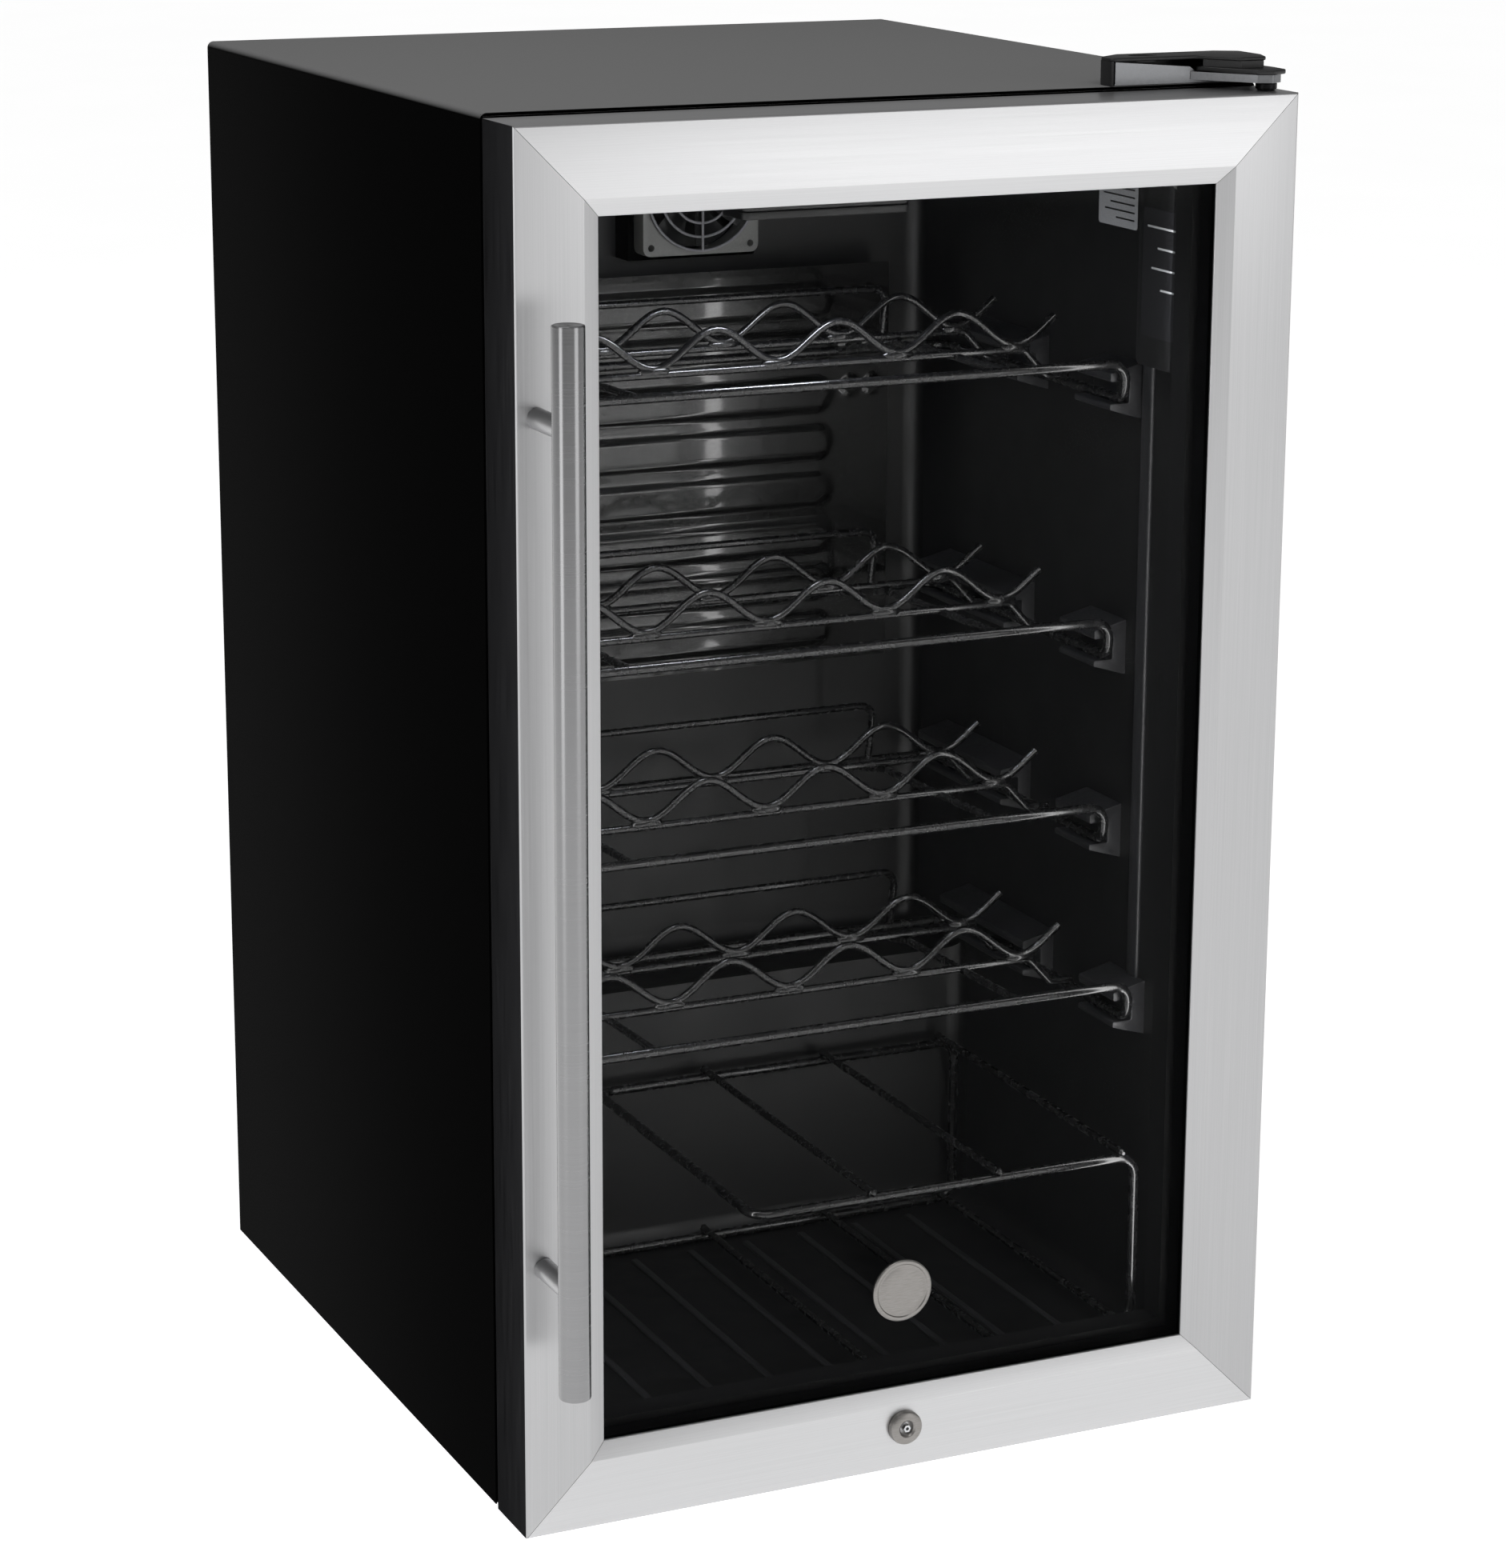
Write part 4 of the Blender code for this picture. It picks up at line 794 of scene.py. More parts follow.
# %% Wrapper
WRAP = spans("cabinet_wrapper")
SHEET = 0.001
FOLD = 0.004
outside = [(WRAP[0][1], WRAP[2][0]), (WRAP[0][1], WRAP[2][1]), (WRAP[0][0], WRAP[2][1]),
           (WRAP[0][0], WRAP[2][0])]
inside = [(x - math.copysign(SHEET, x), min(z, WRAP[2][1] - SHEET)) for x, z in reversed(outside)]
wrap_outline = rounded(outside, FOLD, 8) + rounded(inside, FOLD - SHEET, 8)
FLANGE = spans("front_flange")
HEM_OPENING = ((-0.222, 0.222), (0.014, 0.786))
hem = sheet([box_outline((WRAP[0][0] + SHEET, WRAP[0][1] - SHEET),
                         (WRAP[2][0] + 0.0004, WRAP[2][1] - SHEET)), box_outline(*HEM_OPENING)],
            "XZ", FLANGE[1][1] + 0.00005, FLANGE[1][1] + 0.00022)
piece("folded_wrapper", combined(sheet([wrap_outline], "XZ", *WRAP[1], 0.00035), hem),
      cabinet_enamel, "cabinet", "cabinet_wrapper", sharp=50)
repaint(cabinet_enamel, "front_flange", "fan_bracket")
repaint(zinc, "rear_panel", "niche_panel", "base_pan", "lower_hinge_bracket", "lower_hinge_pin")
repaint(foam, "foam_insulation")
print("cabinet", [round((b - a) * 1000) for a, b in WRAP], "mm")

# %% [markdown]
# ## Liner
#
# The liner is one sheet of plastic, drawn by vacuum into a mould, so every inner corner is a
# generous fillet and the wall has one thickness. It is built as the surface of the hollow, with its
# edges bevelled, and then given its thickness with Solidify. The hump at the back leaves room for
# the compressor. A lip closes the corners of the mouth, low ribs stiffen the floor, and channels
# are moulded on the walls for the shelves' runners.

# %% Liner shell
SKIN_LINER = 0.0015
FILLET = 0.012
LINER = spans("inner_liner")
LINER_HALF = LINER[0][1] - SKIN_LINER
LINER_MOUTH, LINER_BACK = LINER[1][0], LINER[1][1] - SKIN_LINER
LINER_FLOOR, LINER_CEILING = LINER[2][0] + SKIN_LINER, LINER[2][1] - SKIN_LINER
HUMP_FRONT, HUMP_TOP = 0.338, 0.200
side_view = [(LINER_MOUTH, LINER_FLOOR), (HUMP_FRONT, LINER_FLOOR), (HUMP_FRONT, HUMP_TOP),
             (LINER_BACK, HUMP_TOP), (LINER_BACK, LINER_CEILING), (LINER_MOUTH, LINER_CEILING)]


def liner_shell():
    bm = bmesh.new()
    sides = [[bm.verts.new(at(x, depth, height)) for depth, height in side_view]
             for x in (-LINER_HALF, LINER_HALF)]
    for loop in sides:
        bm.faces.new(loop)
    for i in range(len(side_view) - 1):
        bm.faces.new((sides[0][i], sides[0][i + 1], sides[1][i + 1], sides[1][i]))
    bmesh.ops.recalc_face_normals(bm, faces=bm.faces)
    hump = at(0, HUMP_FRONT, HUMP_TOP)
    folds = []
    for edge in bm.edges:
        middle = (edge.verts[0].co + edge.verts[1].co) / 2
        if len(edge.link_faces) == 2 and (middle - hump).length > 0.001:
            folds.append(edge)
    bmesh.ops.bevel(bm, geom=folds, offset=FILLET, segments=5, profile=0.5, affect="EDGES")
    bmesh.ops.recalc_face_normals(bm, faces=bm.faces)
    mesh = closed(bm, "liner")
    floor_face = max(mesh.polygons, key=lambda face: face.area)
    towards_middle = (at(0, 0.2, 0.4) - floor_face.center).dot(floor_face.normal)
    return evaluated(mesh, [("SOLIDIFY", {"thickness": SKIN_LINER, "use_even_offset": True,
                                          "offset": -1.0 if towards_middle > 0 else 1.0})])


mouth = soft_box((-LINER_HALF, LINER_HALF), (LINER_FLOOR, LINER_CEILING), FILLET)
lip = sheet([box_outline(LINER[0], LINER[2]), mouth], "XZ", LINER_MOUTH - 0.0001,
            LINER_MOUTH + 0.0005)
piece("vacuum_formed_liner", combined(liner_shell(), lip), liner_plastic, "cabinet", "inner_liner",
      sharp=50)
print("liner hollow is", round(2000 * LINER_HALF), "mm wide")

# %% Channels, wall ribs and floor ribs
WIRE, THIN_WIRE = 0.0030, 0.0024
RUNNER_DROP = 0.022
SHELF_LENGTH = 0.235
RUNNER_X = 0.1965
FLAT_OF_HEXAGON = math.cos(math.radians(30))


def shelf_place(node):
    """A shelf's front bar: its depth and height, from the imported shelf's six-sided wires."""
    box = spans(node)
    return box[1][0] + WIRE * FLAT_OF_HEXAGON, box[2][0] + RUNNER_DROP + WIRE


SHELF_PLACES = [shelf_place(f"shelf_{number}") for number in range(1, 5)]
CHANNEL = [(0.1900, -0.0290), (0.2130, -0.0360), (0.2130, -0.0010), (0.1900, -0.0065),
           (0.1900, -0.0120), (0.2030, -0.0120), (0.2030, -0.0254), (0.1900, -0.0254)]
CHANNEL_STRETCHES = ((0.006, 0.050), (0.123, 0.240))
channels = []
for depth, height in SHELF_PLACES:
    for side in (-1, 1):
        outline = rounded([(side * x, height + z) for x, z in CHANNEL], 0.0012, 3, closed=True)
        for start, stop in CHANNEL_STRETCHES:
            channels.append(sheet([outline], "XZ", depth + start, depth + stop, 0.0005))
piece("shelf_channels", combined(*channels), rail_plastic, "cabinet")

wall_ribs = [brick(sorted((side * 0.2098, side * 0.2130)), (0.104, 0.116), (0.245, 0.638), 0.0014)
             for side in (-1, 1)]
floor_ribs = [brick((x - 0.0025, x + 0.0025), (0.095, 0.312),
                    (LINER_FLOOR - 0.0005, LINER_FLOOR + 0.0012), 0.0008)
              for x in np.arange(-0.160, 0.161, 0.040)]
floor_lip = brick((-LINER_HALF, LINER_HALF), (LINER_MOUTH + 0.001, LINER_MOUTH + 0.010),
                  (LINER_FLOOR - 0.0005, LINER_FLOOR + 0.0040), 0.0020)
piece("liner_ribs", combined(*wall_ribs, *floor_ribs, floor_lip), rail_plastic, "cabinet")
print(len(channels), "channel blocks and", len(floor_ribs), "floor ribs")

# %% [markdown]
# ## Shelves and cradle
#
# A shelf is welded from straightened wire: a bent frame, two wavy wires that hold the bottles, two
# cross wires under them, a stop at the back and two braces. Each crossing is a resistance weld,
# which squeezes the wires into each other, and the dip coating then runs into the joint and leaves
# a soft swelling. The wires are drawn along their paths, and the swellings are short thicker
# stretches with tapered ends.

# %% Shelf wires
WAVE_RISE = 0.021
BOTTLE_PITCH = 0.080
WAVE_END = 0.187
TROUGHS = (-0.160, -0.080, 0.0, 0.080, 0.160)
CROSS_DEPTHS = (0.072, 0.150)


def wave_points(depth, height):
    """The bottle wire: a cosine with its low points in the troughs."""
    spread = np.linspace(-WAVE_END, WAVE_END, 141)
    rise = WAVE_RISE * (0.5 - 0.5 * np.cos(math.tau * spread / BOTTLE_PITCH))
    return [Vector((x, depth, height + z)) for x, z in zip(spread, rise)]


def weld(x, depth, height, half=0.010):
    """A coated weld: a short stretch that swells over the wires it joins."""
    points = [Vector((x + share * half, depth, height)) for share in (-1, -0.75, 0.75, 1)]
    return (points, [0.0012, 0.0030, 0.0030, 0.0012], False)


def shelf_mesh():
    half, back, drop = RUNNER_X, SHELF_LENGTH, -RUNNER_DROP
    loop = rounded([(-half, 0, 0), (half, 0, 0), (half, 0, drop), (half, back, drop),
                    (-half, back, drop), (-half, 0, drop)], 0.010, 6, closed=True)
    runs = [(loop, WIRE, True)]
    level = drop + WIRE + THIN_WIRE - 0.0008
    for depth in CROSS_DEPTHS:
        cross = rounded([(-half, depth, level), (-0.182, depth, level), (-0.166, depth, 0),
                         (0.166, depth, 0), (0.182, depth, level), (half, depth, level)], 0.006, 5)
        runs.append((cross, THIN_WIRE, False))
        runs.append((wave_points(depth, THIN_WIRE * 1.5), THIN_WIRE, False))
        runs += [weld(x, depth, THIN_WIRE * 0.8) for x in TROUGHS]
    stop = 0.018
    runs.append((rounded([(-0.150, back, drop), (-0.150, back - 0.008, stop),
                          (0.150, back - 0.008, stop), (0.150, back, drop)], 0.010, 6),
                 THIN_WIRE, False))
    for x in (-0.120, 0.120):
        runs.append(([Vector((x, 0, 0)), Vector((x, 0.150, 0.0006 - 2 * THIN_WIRE)),
                      Vector((x, back, drop))], THIN_WIRE, False))
        runs.append(weld(x, 0.0, 0.0, 0.006))
    return wires(runs, 12)


one_shelf = shelf_mesh()
for number, (depth, height) in enumerate(SHELF_PLACES, start=1):
    mesh = one_shelf.copy()
    mesh.transform(Matrix.Translation(at(0, depth, height)))
    piece(f"welded_shelf_{number}", mesh, coated_wire, f"shelf_{number}", f"shelf_{number}")
print("a shelf has", len(one_shelf.polygons), "faces")

# %% Cradle on the floor
CRADLE = spans("bottle_cradle")
cradle_x = (CRADLE[0][0] + WIRE, CRADLE[0][1] - WIRE * FLAT_OF_HEXAGON)
cradle_step = -0.060
cradle_depth = (CRADLE[1][0] + 0.006, CRADLE[1][1] - 0.006)
cradle_floor, cradle_deck = LINER_FLOOR + WIRE + 0.0003, 0.138
frame_run = rounded([at(x, depth, height) for x, depth, height in (
    (cradle_x[0], cradle_depth[0], cradle_floor), (cradle_x[1], cradle_depth[0], cradle_floor),
    (cradle_x[1], cradle_depth[0], cradle_deck), (cradle_step, cradle_depth[0], cradle_deck),
    (cradle_step, cradle_depth[1], cradle_deck), (cradle_x[1], cradle_depth[1], cradle_deck),
    (cradle_x[1], cradle_depth[1], cradle_floor), (cradle_x[0], cradle_depth[1], cradle_floor))],
    0.012, 7, closed=True)
cradle_runs = [(frame_run, WIRE, True)]
over = WIRE + THIN_WIRE - 0.0008
bead = [0.0010, 0.0022, 0.0028, 0.0028, 0.0024]
for x in (0.017, 0.103, 0.189):
    for height in (cradle_floor + over, cradle_deck + over):
        near = [at(x, cradle_depth[0] - 0.0055 + step * 0.0012, height) for step in range(5)]
        far = [at(x, cradle_depth[1] + 0.0055 - step * 0.0012, height) for step in range(5)]
        cradle_runs.append((near + far[::-1], bead + bead[::-1], False))
piece("welded_cradle", wires(cradle_runs, 12), coated_wire, "cabinet", "bottle_cradle")
print("cradle wires:", len(cradle_runs))

# %% [markdown]
# ## Evaporator
#
# Two aluminium sheets are bonded except along a printed pattern, then blown up with air, which
# raises flat channels with soft edges. Here the plate is a height field: a formula says how far
# each point of the sheet stands out. Eight long channels cross it, and four small rings at the
# right are where it is bolted to the wall.

# %% Roll-bonded plate
PLATE = spans("evaporator_plate")
CHANNEL_HEIGHT, CHANNEL_PITCH, CHANNEL_RISE = 0.020, 0.0312, 0.0026
LOWEST_CHANNEL, CHANNEL_COUNT = 0.0225, 8
PLATE_STEP = 0.0022
plate_width, plate_height = PLATE[0][1] - PLATE[0][0], PLATE[2][1] - PLATE[2][0]
channel_ends = (0.022, plate_width - 0.052)
bolts = [(plate_width - x, plate_height - t) for x in (0.012, 0.028) for t in (0.052, 0.080)]


def soft_step(distance, edge=0.0028):
    """1 inside a channel, 0 outside, with a soft shoulder."""
    share = min(max(0.5 - distance / edge, 0.0), 1.0)
    return share * share * (3 - 2 * share)


def blown_up(s, t):
    """How far the sheet stands out at s along it and t up it."""
    row = min(max(round((t - LOWEST_CHANNEL) / CHANNEL_PITCH), 0), CHANNEL_COUNT - 1)
    middle = LOWEST_CHANNEL + row * CHANNEL_PITCH
    nearest = min(max(s, channel_ends[0]), channel_ends[1])
    rise = soft_step(math.hypot(s - nearest, t - middle) - CHANNEL_HEIGHT / 2)
    for x, z in bolts:
        rise = max(rise, soft_step(abs(math.hypot(s - x, t - z) - 0.0042) - 0.0016, 0.002) * 0.7)
    return CHANNEL_RISE * rise


corner = at(PLATE[0][0], PLATE[1][0], PLATE[2][0])
plate = relief(corner, Vector((plate_width, 0, 0)), Vector((0, 0, plate_height)),
               (round(plate_width / PLATE_STEP), round(plate_height / PLATE_STEP)), blown_up)
plate = evaluated(plate, [("SOLIDIFY", {"thickness": 0.0012, "offset": -1.0})])
piece("roll_bonded_evaporator", plate, gloss_lacquer, "cabinet", "evaporator_plate", sharp=60)
print("evaporator", round(plate_width * 1000), "by", round(plate_height * 1000), "mm,",
      len(plate.vertices), "points")

# %% [markdown]
# ## Fan
#
# An 80 mm fan: a moulded square frame with a screw hole in each corner, a rotor with seven swept
# blades, and a guard welded from wire rings. Its hub carries the motor.

# %% Fan frame and guard
FAN = spans("fan_frame")
fan_x, fan_height = middle_of(FAN[0]), middle_of(FAN[2])
fan_half = half_of(FAN[0])
fan_bore = 0.038
square = rounded(box_outline((fan_x - fan_half, fan_x + fan_half),
                             (fan_height - fan_half, fan_height + fan_half)), 0.005, 6, closed=True)
screw_places = [(fan_x + sx * 0.0345, fan_height + sz * 0.0345) for sx in (-1, 1) for sz in (-1, 1)]
holes = [ring((fan_x, fan_height), fan_bore, 72),
         *[ring(spot, 0.0022, 20) for spot in screw_places]]
frame_body = sheet([square, *holes], "XZ", *FAN[1], 0.0007)
seat_depth = FAN[1][1]
seat = lathe([(0.0, 0.003), (0.0135, 0.003), (0.014, 0.0025), (0.014, 0.0), (0.0, 0.0)],
             at(fan_x, seat_depth, fan_height), "Y")
arms = []
for turn in (45, 165, 285):
    way = Vector((math.cos(math.radians(turn)), 0, math.sin(math.radians(turn))))
    middle = at(fan_x, seat_depth - 0.0015, fan_height)
    arms.append(([middle + way * 0.010, middle + way * 0.0395], 0.0014, False))
piece("moulded_fan_frame", combined(frame_body, seat, wires(arms, 8)), grey_abs, "cabinet",
      "fan_frame")

GUARD = spans("fan_guard")
guard_wire = 0.00085
guard_runs = []
for radius in (0.0110, 0.0198, 0.0286, 0.0374):
    circle_points = [at(x, GUARD[1][1] - guard_wire, z)
                     for x, z in ring((fan_x, fan_height), radius, 60)]
    guard_runs.append((circle_points, guard_wire, True))
for way in (RIGHT, UP):
    for side in (-1, 1):
        start = at(fan_x, GUARD[1][0] + guard_wire, fan_height)
        guard_runs.append(([start + way * side * 0.0102, start + way * side * 0.0380],
                           guard_wire, False))
guard_disc = lathe([(0.0, 0.0006), (0.0080, 0.0005), (0.0108, 0.0), (0.0108, -0.0004),
                    (0.0, -0.0004)], at(fan_x, GUARD[1][0] + 0.0007, fan_height), "Y")
piece("welded_fan_guard", combined(wires(guard_runs, 10), guard_disc), guard_paint, "cabinet",
      "fan_guard")
print("fan is", round(2000 * fan_half), "mm square with", len(screw_places), "screw holes")

# %% Fan rotor
ROTOR = spans("fan_rotor")
BLADES = 7
rotor_front, rotor_back = ROTOR[1]
hub_radius, tip_radius = 0.0135, 0.0352


def blade(start):
    """One swept blade: it turns back and falls away as it goes round."""
    points = []
    along_steps, out_steps = 8, 6
    for i in range(along_steps + 1):
        for j in range(out_steps + 1):
            share, out = i / along_steps, j / out_steps
            radius = hub_radius - 0.001 + out * (tip_radius - hub_radius + 0.001)
            angle = start + math.radians(43 * share + 10 * out)
            depth = rotor_front + 0.0008 + (rotor_back - rotor_front - 0.0016) * (
                0.5 - 0.5 * math.cos(math.pi * share))
            points.append(at(fan_x + radius * math.cos(angle), depth,
                             fan_height + radius * math.sin(angle)))
    row = out_steps + 1
    faces = [(i * row + j, i * row + j + 1, (i + 1) * row + j + 1, (i + 1) * row + j)
             for i in range(along_steps) for j in range(out_steps)]
    mesh = bpy.data.meshes.new("blade")
    mesh.from_pydata(points, [], faces)
    return evaluated(mesh, [("SOLIDIFY", {"thickness": 0.0010, "offset": 0.0})])


length = rotor_back - rotor_front
hub = lathe([(0.0, 0.0), (0.0100, -0.0001), (0.0128, -0.0008), (hub_radius, -0.0022),
             (hub_radius, -length), (0.0, -length)], at(fan_x, rotor_front, fan_height), "Y")
blades = [blade(math.tau * number / BLADES) for number in range(BLADES)]
piece("seven_blade_rotor", combined(hub, *blades), black_abs, "fan", "fan_rotor")
print("rotor has", BLADES, "blades, tip at", round(tip_radius * 1000, 1), "mm")

# %% [markdown]
# ## Lamp and controls
#
# The lamp is a strip of LEDs under a ribbed acrylic lens, in a clip-in housing. The controls are a
# moulded box on the right wall, with a small display, three round keys and a printed label. The
# label carries no words here, only plain bars.

# %% Lamp
LAMP, LENS = spans("light_housing"), spans("light_lens")
lamp_outline = soft_box(LAMP[0], LAMP[1], 0.005)
seat_outline = box_outline((LENS[0][0] - 0.0004, LENS[0][1] + 0.0004),
                           (LENS[1][0] - 0.0004, LENS[1][1] + 0.0004))
lamp_rim = sheet([lamp_outline, seat_outline], "XY", LAMP[2][0], LENS[2][1] + 0.0006, 0.0008)
lamp_body = sheet([lamp_outline], "XY", LENS[2][1] + 0.0004, LAMP[2][1], 0.0015)
piece("clip_in_lamp_housing", combined(lamp_rim, lamp_body), black_abs, "cabinet", "light_housing")
RIBS = 28
lens_width = LENS[0][1] - LENS[0][0]
lens_outline = [(LENS[0][0] + lens_width * i / (RIBS * 4),
                 LENS[2][0] + 0.0004 - 0.0004 * math.cos(math.tau * i / 4))
                for i in range(RIBS * 4 + 1)]
lens_outline += [(LENS[0][1], LENS[2][1]), (LENS[0][0], LENS[2][1])]
piece("ribbed_lamp_lens", sheet([lens_outline], "XZ", *LENS[1]), lens_plastic, "cabinet",
      "light_lens")
print("lens has", RIBS, "ribs")

# %% Control box, display, keys and labels
CONTROL = spans("control_box")
KEYS = [spans(name) for name in ("button_up", "button_down", "button_light")]
key_height = middle_of(KEYS[0][2])
key_radius = half_of(KEYS[0][2])
control_outline = soft_box(CONTROL[1], CONTROL[2], 0.004)
key_holes = [ring((middle_of(key[1]), key_height), key_radius + 0.0006, 28) for key in KEYS]
piece("moulded_control_box", sheet([control_outline, *key_holes], "YZ", *CONTROL[0], 0.0012),
      black_abs, "cabinet", "control_box")
repaint(display_glass, "control_display")
for name, key in zip(("button_up", "button_down", "button_light"), KEYS):
    front, back = key[0]
    key_profile = [(0.0, front - back), (key_radius * 0.55, front - back + 0.0002),
                   (key_radius * 0.9, front - back + 0.0008), (key_radius, front - back + 0.0014),
                   (key_radius, 0.0), (0.0, 0.0)]
    piece("domed_" + name, lathe(key_profile, at(back, middle_of(key[1]), key_height), "X", 36),
          grey_abs, name, name)


def printed_label(name, film, ink, face_x, depth, height, bars):
    """A thin label on a wall that faces left, with plain bars for its printing."""
    outline = soft_box(depth, height, 0.002, 4)
    piece(name, sheet([outline], "YZ", face_x - 0.0002, face_x - 0.00005), film, "cabinet")
    strips = []
    width, tall = depth[1] - depth[0], height[1] - height[0]
    for start, stop, level, thick in bars:
        strips.append(sheet([box_outline((depth[0] + start * width, depth[0] + stop * width),
                                         (height[0] + level * tall - thick / 2,
                                          height[0] + level * tall + thick / 2))],
                            "YZ", face_x - 0.0003, face_x - 0.0002))
    piece(name + "_bars", combined(*strips), ink, "cabinet")


printed_label("control_label", label_film, label_ink, CONTROL[0][0], (0.0555, 0.0985),
              (0.650, 0.726), [(0.12, 0.88, 0.86, 0.0012), (0.12, 0.60, 0.70, 0.0012),
                               (0.12, 0.75, 0.54, 0.0012), (0.12, 0.50, 0.38, 0.0012)])
printed_label("wall_sticker", label_ink, label_film, LINER_HALF, (0.130, 0.177), (0.707, 0.745),
              [(0.08, 0.92, 0.84, 0.0030), (0.08, 0.80, 0.62, 0.0010), (0.08, 0.88, 0.50, 0.0010),
               (0.08, 0.70, 0.38, 0.0010), (0.08, 0.84, 0.26, 0.0010), (0.08, 0.55, 0.14, 0.0010)])
print("three keys", round(2000 * key_radius, 1), "mm across")

# %% [markdown]
# ## Hinges and feet
#
# The top hinge is a pressed steel bracket, nickel-plated, under a moulded cap. The cap is an
# outline with a wall that follows it and an opening at the front, where the bracket's plate shows.
# An oval pocket in its roof holds the fixing screw. The door turns on a pin in two moulded bushes.

# %% Screws
def screw_head(centre, radius, axis="Z", height=0.0016):
    """A pan head with a round drive recess."""
    profile = [(0.0, height * 0.35), (radius * 0.34, height * 0.35), (radius * 0.36, height * 0.96),
               (radius * 0.62, height * 0.90), (radius * 0.90, height * 0.55), (radius, 0.0),
               (0.0, 0.0)]
    return lathe(profile, centre, axis, 24)


# %% Top hinge cap
CAP = spans("top_hinge_cover")
roof = CAP[2][0]
cap_top = CAP[2][1]
BRIM = [(0.1440, 0.0468), (0.2000, 0.0468), (0.2160, 0.0250), (0.2330, 0.0250), (0.2385, 0.0400),
        (0.2385, 0.0640), (0.2250, 0.0710), (0.1600, 0.0710), (0.1440, 0.0600)]
WALL = [(0.2385, 0.0400), (0.2385, 0.0640), (0.2250, 0.0710), (0.1600, 0.0710), (0.1440, 0.0600),
        (0.1440, 0.0468), (0.1460, 0.0468), (0.1460, 0.0590), (0.1610, 0.0690), (0.2240, 0.0690),
        (0.2374, 0.0630), (0.2374, 0.0400)]
SLOPE = [(0.2030, 0.0450), (0.2172, 0.0262), (0.2320, 0.0262), (0.2370, 0.0400), (0.2355, 0.0400),
         (0.2310, 0.0278), (0.2180, 0.0278), (0.2048, 0.0450)]
TONGUE = [(0.1985, 0.0480), (0.2195, 0.0115), (0.2290, 0.0074), (0.2385, 0.0120),
          (0.2395, 0.0260), (0.2370, 0.0500), (0.2050, 0.0500)]
POCKET = (0.171, 0.0590)


def oval(centre, half_length, radius, steps=10):
    """A slot's outline with round ends."""
    points = []
    for side in (1, -1):
        for step in range(steps + 1):
            angle = side * math.pi / 2 - side * math.pi * step / steps
            points.append((centre[0] + side * half_length + side * radius * math.cos(angle),
                           centre[1] + radius * math.sin(angle)))
    return points


brim = rounded(BRIM, 0.004, 5, closed=True)
pocket = oval(POCKET, 0.0045, 0.0042)
cap_roof = sheet([brim, pocket], "XY", cap_top - 0.0022, cap_top, 0.0007)
cap_wall = sheet([rounded(WALL, 0.0018, 3, closed=True)], "XY", roof, cap_top - 0.0018)
cap_slope = sheet([SLOPE], "XY", roof + 0.0080, cap_top - 0.0012)
cap_tongue = sheet([rounded(TONGUE, 0.003, 5, closed=True)], "XY", roof + 0.0068, roof + 0.0095,
                   0.0007)
pocket_floor = sheet([oval(POCKET, 0.0050, 0.0048)], "XY", cap_top - 0.0034, cap_top - 0.0026)
piece("moulded_hinge_cap", combined(cap_roof, cap_wall, cap_slope, cap_tongue, pocket_floor),
      black_abs, "cabinet", "top_hinge_cover")
repaint(nickel, "top_hinge_bracket")
piece("cap_screw", screw_head(at(*POCKET, cap_top - 0.0026), 0.0033), chrome, "cabinet")
print("cap stands", round((cap_top - roof) * 1000, 1), "mm above the roof")

# %% Hinge pins and bushes
PIN = spans("top_hinge_pin")
hinge_x, hinge_depth = middle_of(PIN[0]), middle_of(PIN[1])
washer, pin_radius = half_of(PIN[0]), 0.0030
pin_profile = [(0.0, PIN[2][1]), (pin_radius - 0.0006, PIN[2][1]), (pin_radius, PIN[2][1] - 0.0006),
               (pin_radius, roof + 0.0016), (washer - 0.0003, roof + 0.0016),
               (washer, roof + 0.0012), (washer, DOOR_TOP + 0.0014),
               (washer - 0.0004, DOOR_TOP + 0.0010),
               (washer - 0.0010, DOOR_TOP + 0.0010), (washer - 0.0010, DOOR_TOP + 0.0004),
               (pin_radius, DOOR_TOP + 0.0004), (pin_radius, PIN[2][0] + 0.0008),
               (pin_radius - 0.0008, PIN[2][0]), (0.0, PIN[2][0])]
piece("turned_hinge_pin", lathe(pin_profile, at(hinge_x, hinge_depth, 0)), black_oxide, "cabinet",
      "top_hinge_pin")
for node in ("top_hinge_bush", "lower_hinge_bush"):
    bush = spans(node)
    outer, inner = half_of(bush[0]), pin_radius + 0.00035
    low, high = bush[2]
    bush_profile = [(inner, high), (outer - 0.0004, high), (outer, high - 0.0004),
                    (outer, low + 0.0004), (outer - 0.0004, low), (inner, low), (inner, high)]
    piece("moulded_" + node, lathe(bush_profile, at(hinge_x, hinge_depth, 0), steps=32), black_abs,
          "door", node)
LOWER = spans("lower_hinge_pin")
lower_profile = [(0.0, LOWER[2][1]), (pin_radius - 0.0008, LOWER[2][1]),
                 (pin_radius, LOWER[2][1] - 0.0008), (pin_radius, LOWER[2][0]), (0.0, LOWER[2][0])]
piece("turned_lower_pin", lathe(lower_profile, at(hinge_x, hinge_depth, 0), steps=32), zinc,
      "cabinet", "lower_hinge_pin")
print("hinge axis at x", round(hinge_x, 4), "depth", round(hinge_depth, 4))

# %% Levelling feet
LOBES = 10
THREAD_TURNS, THREAD_PITCH = 10, 0.0014


def foot_disc(centre_x, centre_depth, low, radius):
    """The foot's disc, whose rim is lobed so that fingers can turn it."""
    outline = []
    for i in range(LOBES * 12):
        angle = math.tau * i / (LOBES * 12)
        reach = radius - 0.0008 + 0.0008 * math.cos(LOBES * angle)
        outline.append((centre_x + reach * math.cos(angle), centre_depth + reach * math.sin(angle)))
    return sheet([outline], "XY", low + 0.0020, low + 0.0100, 0.0008)


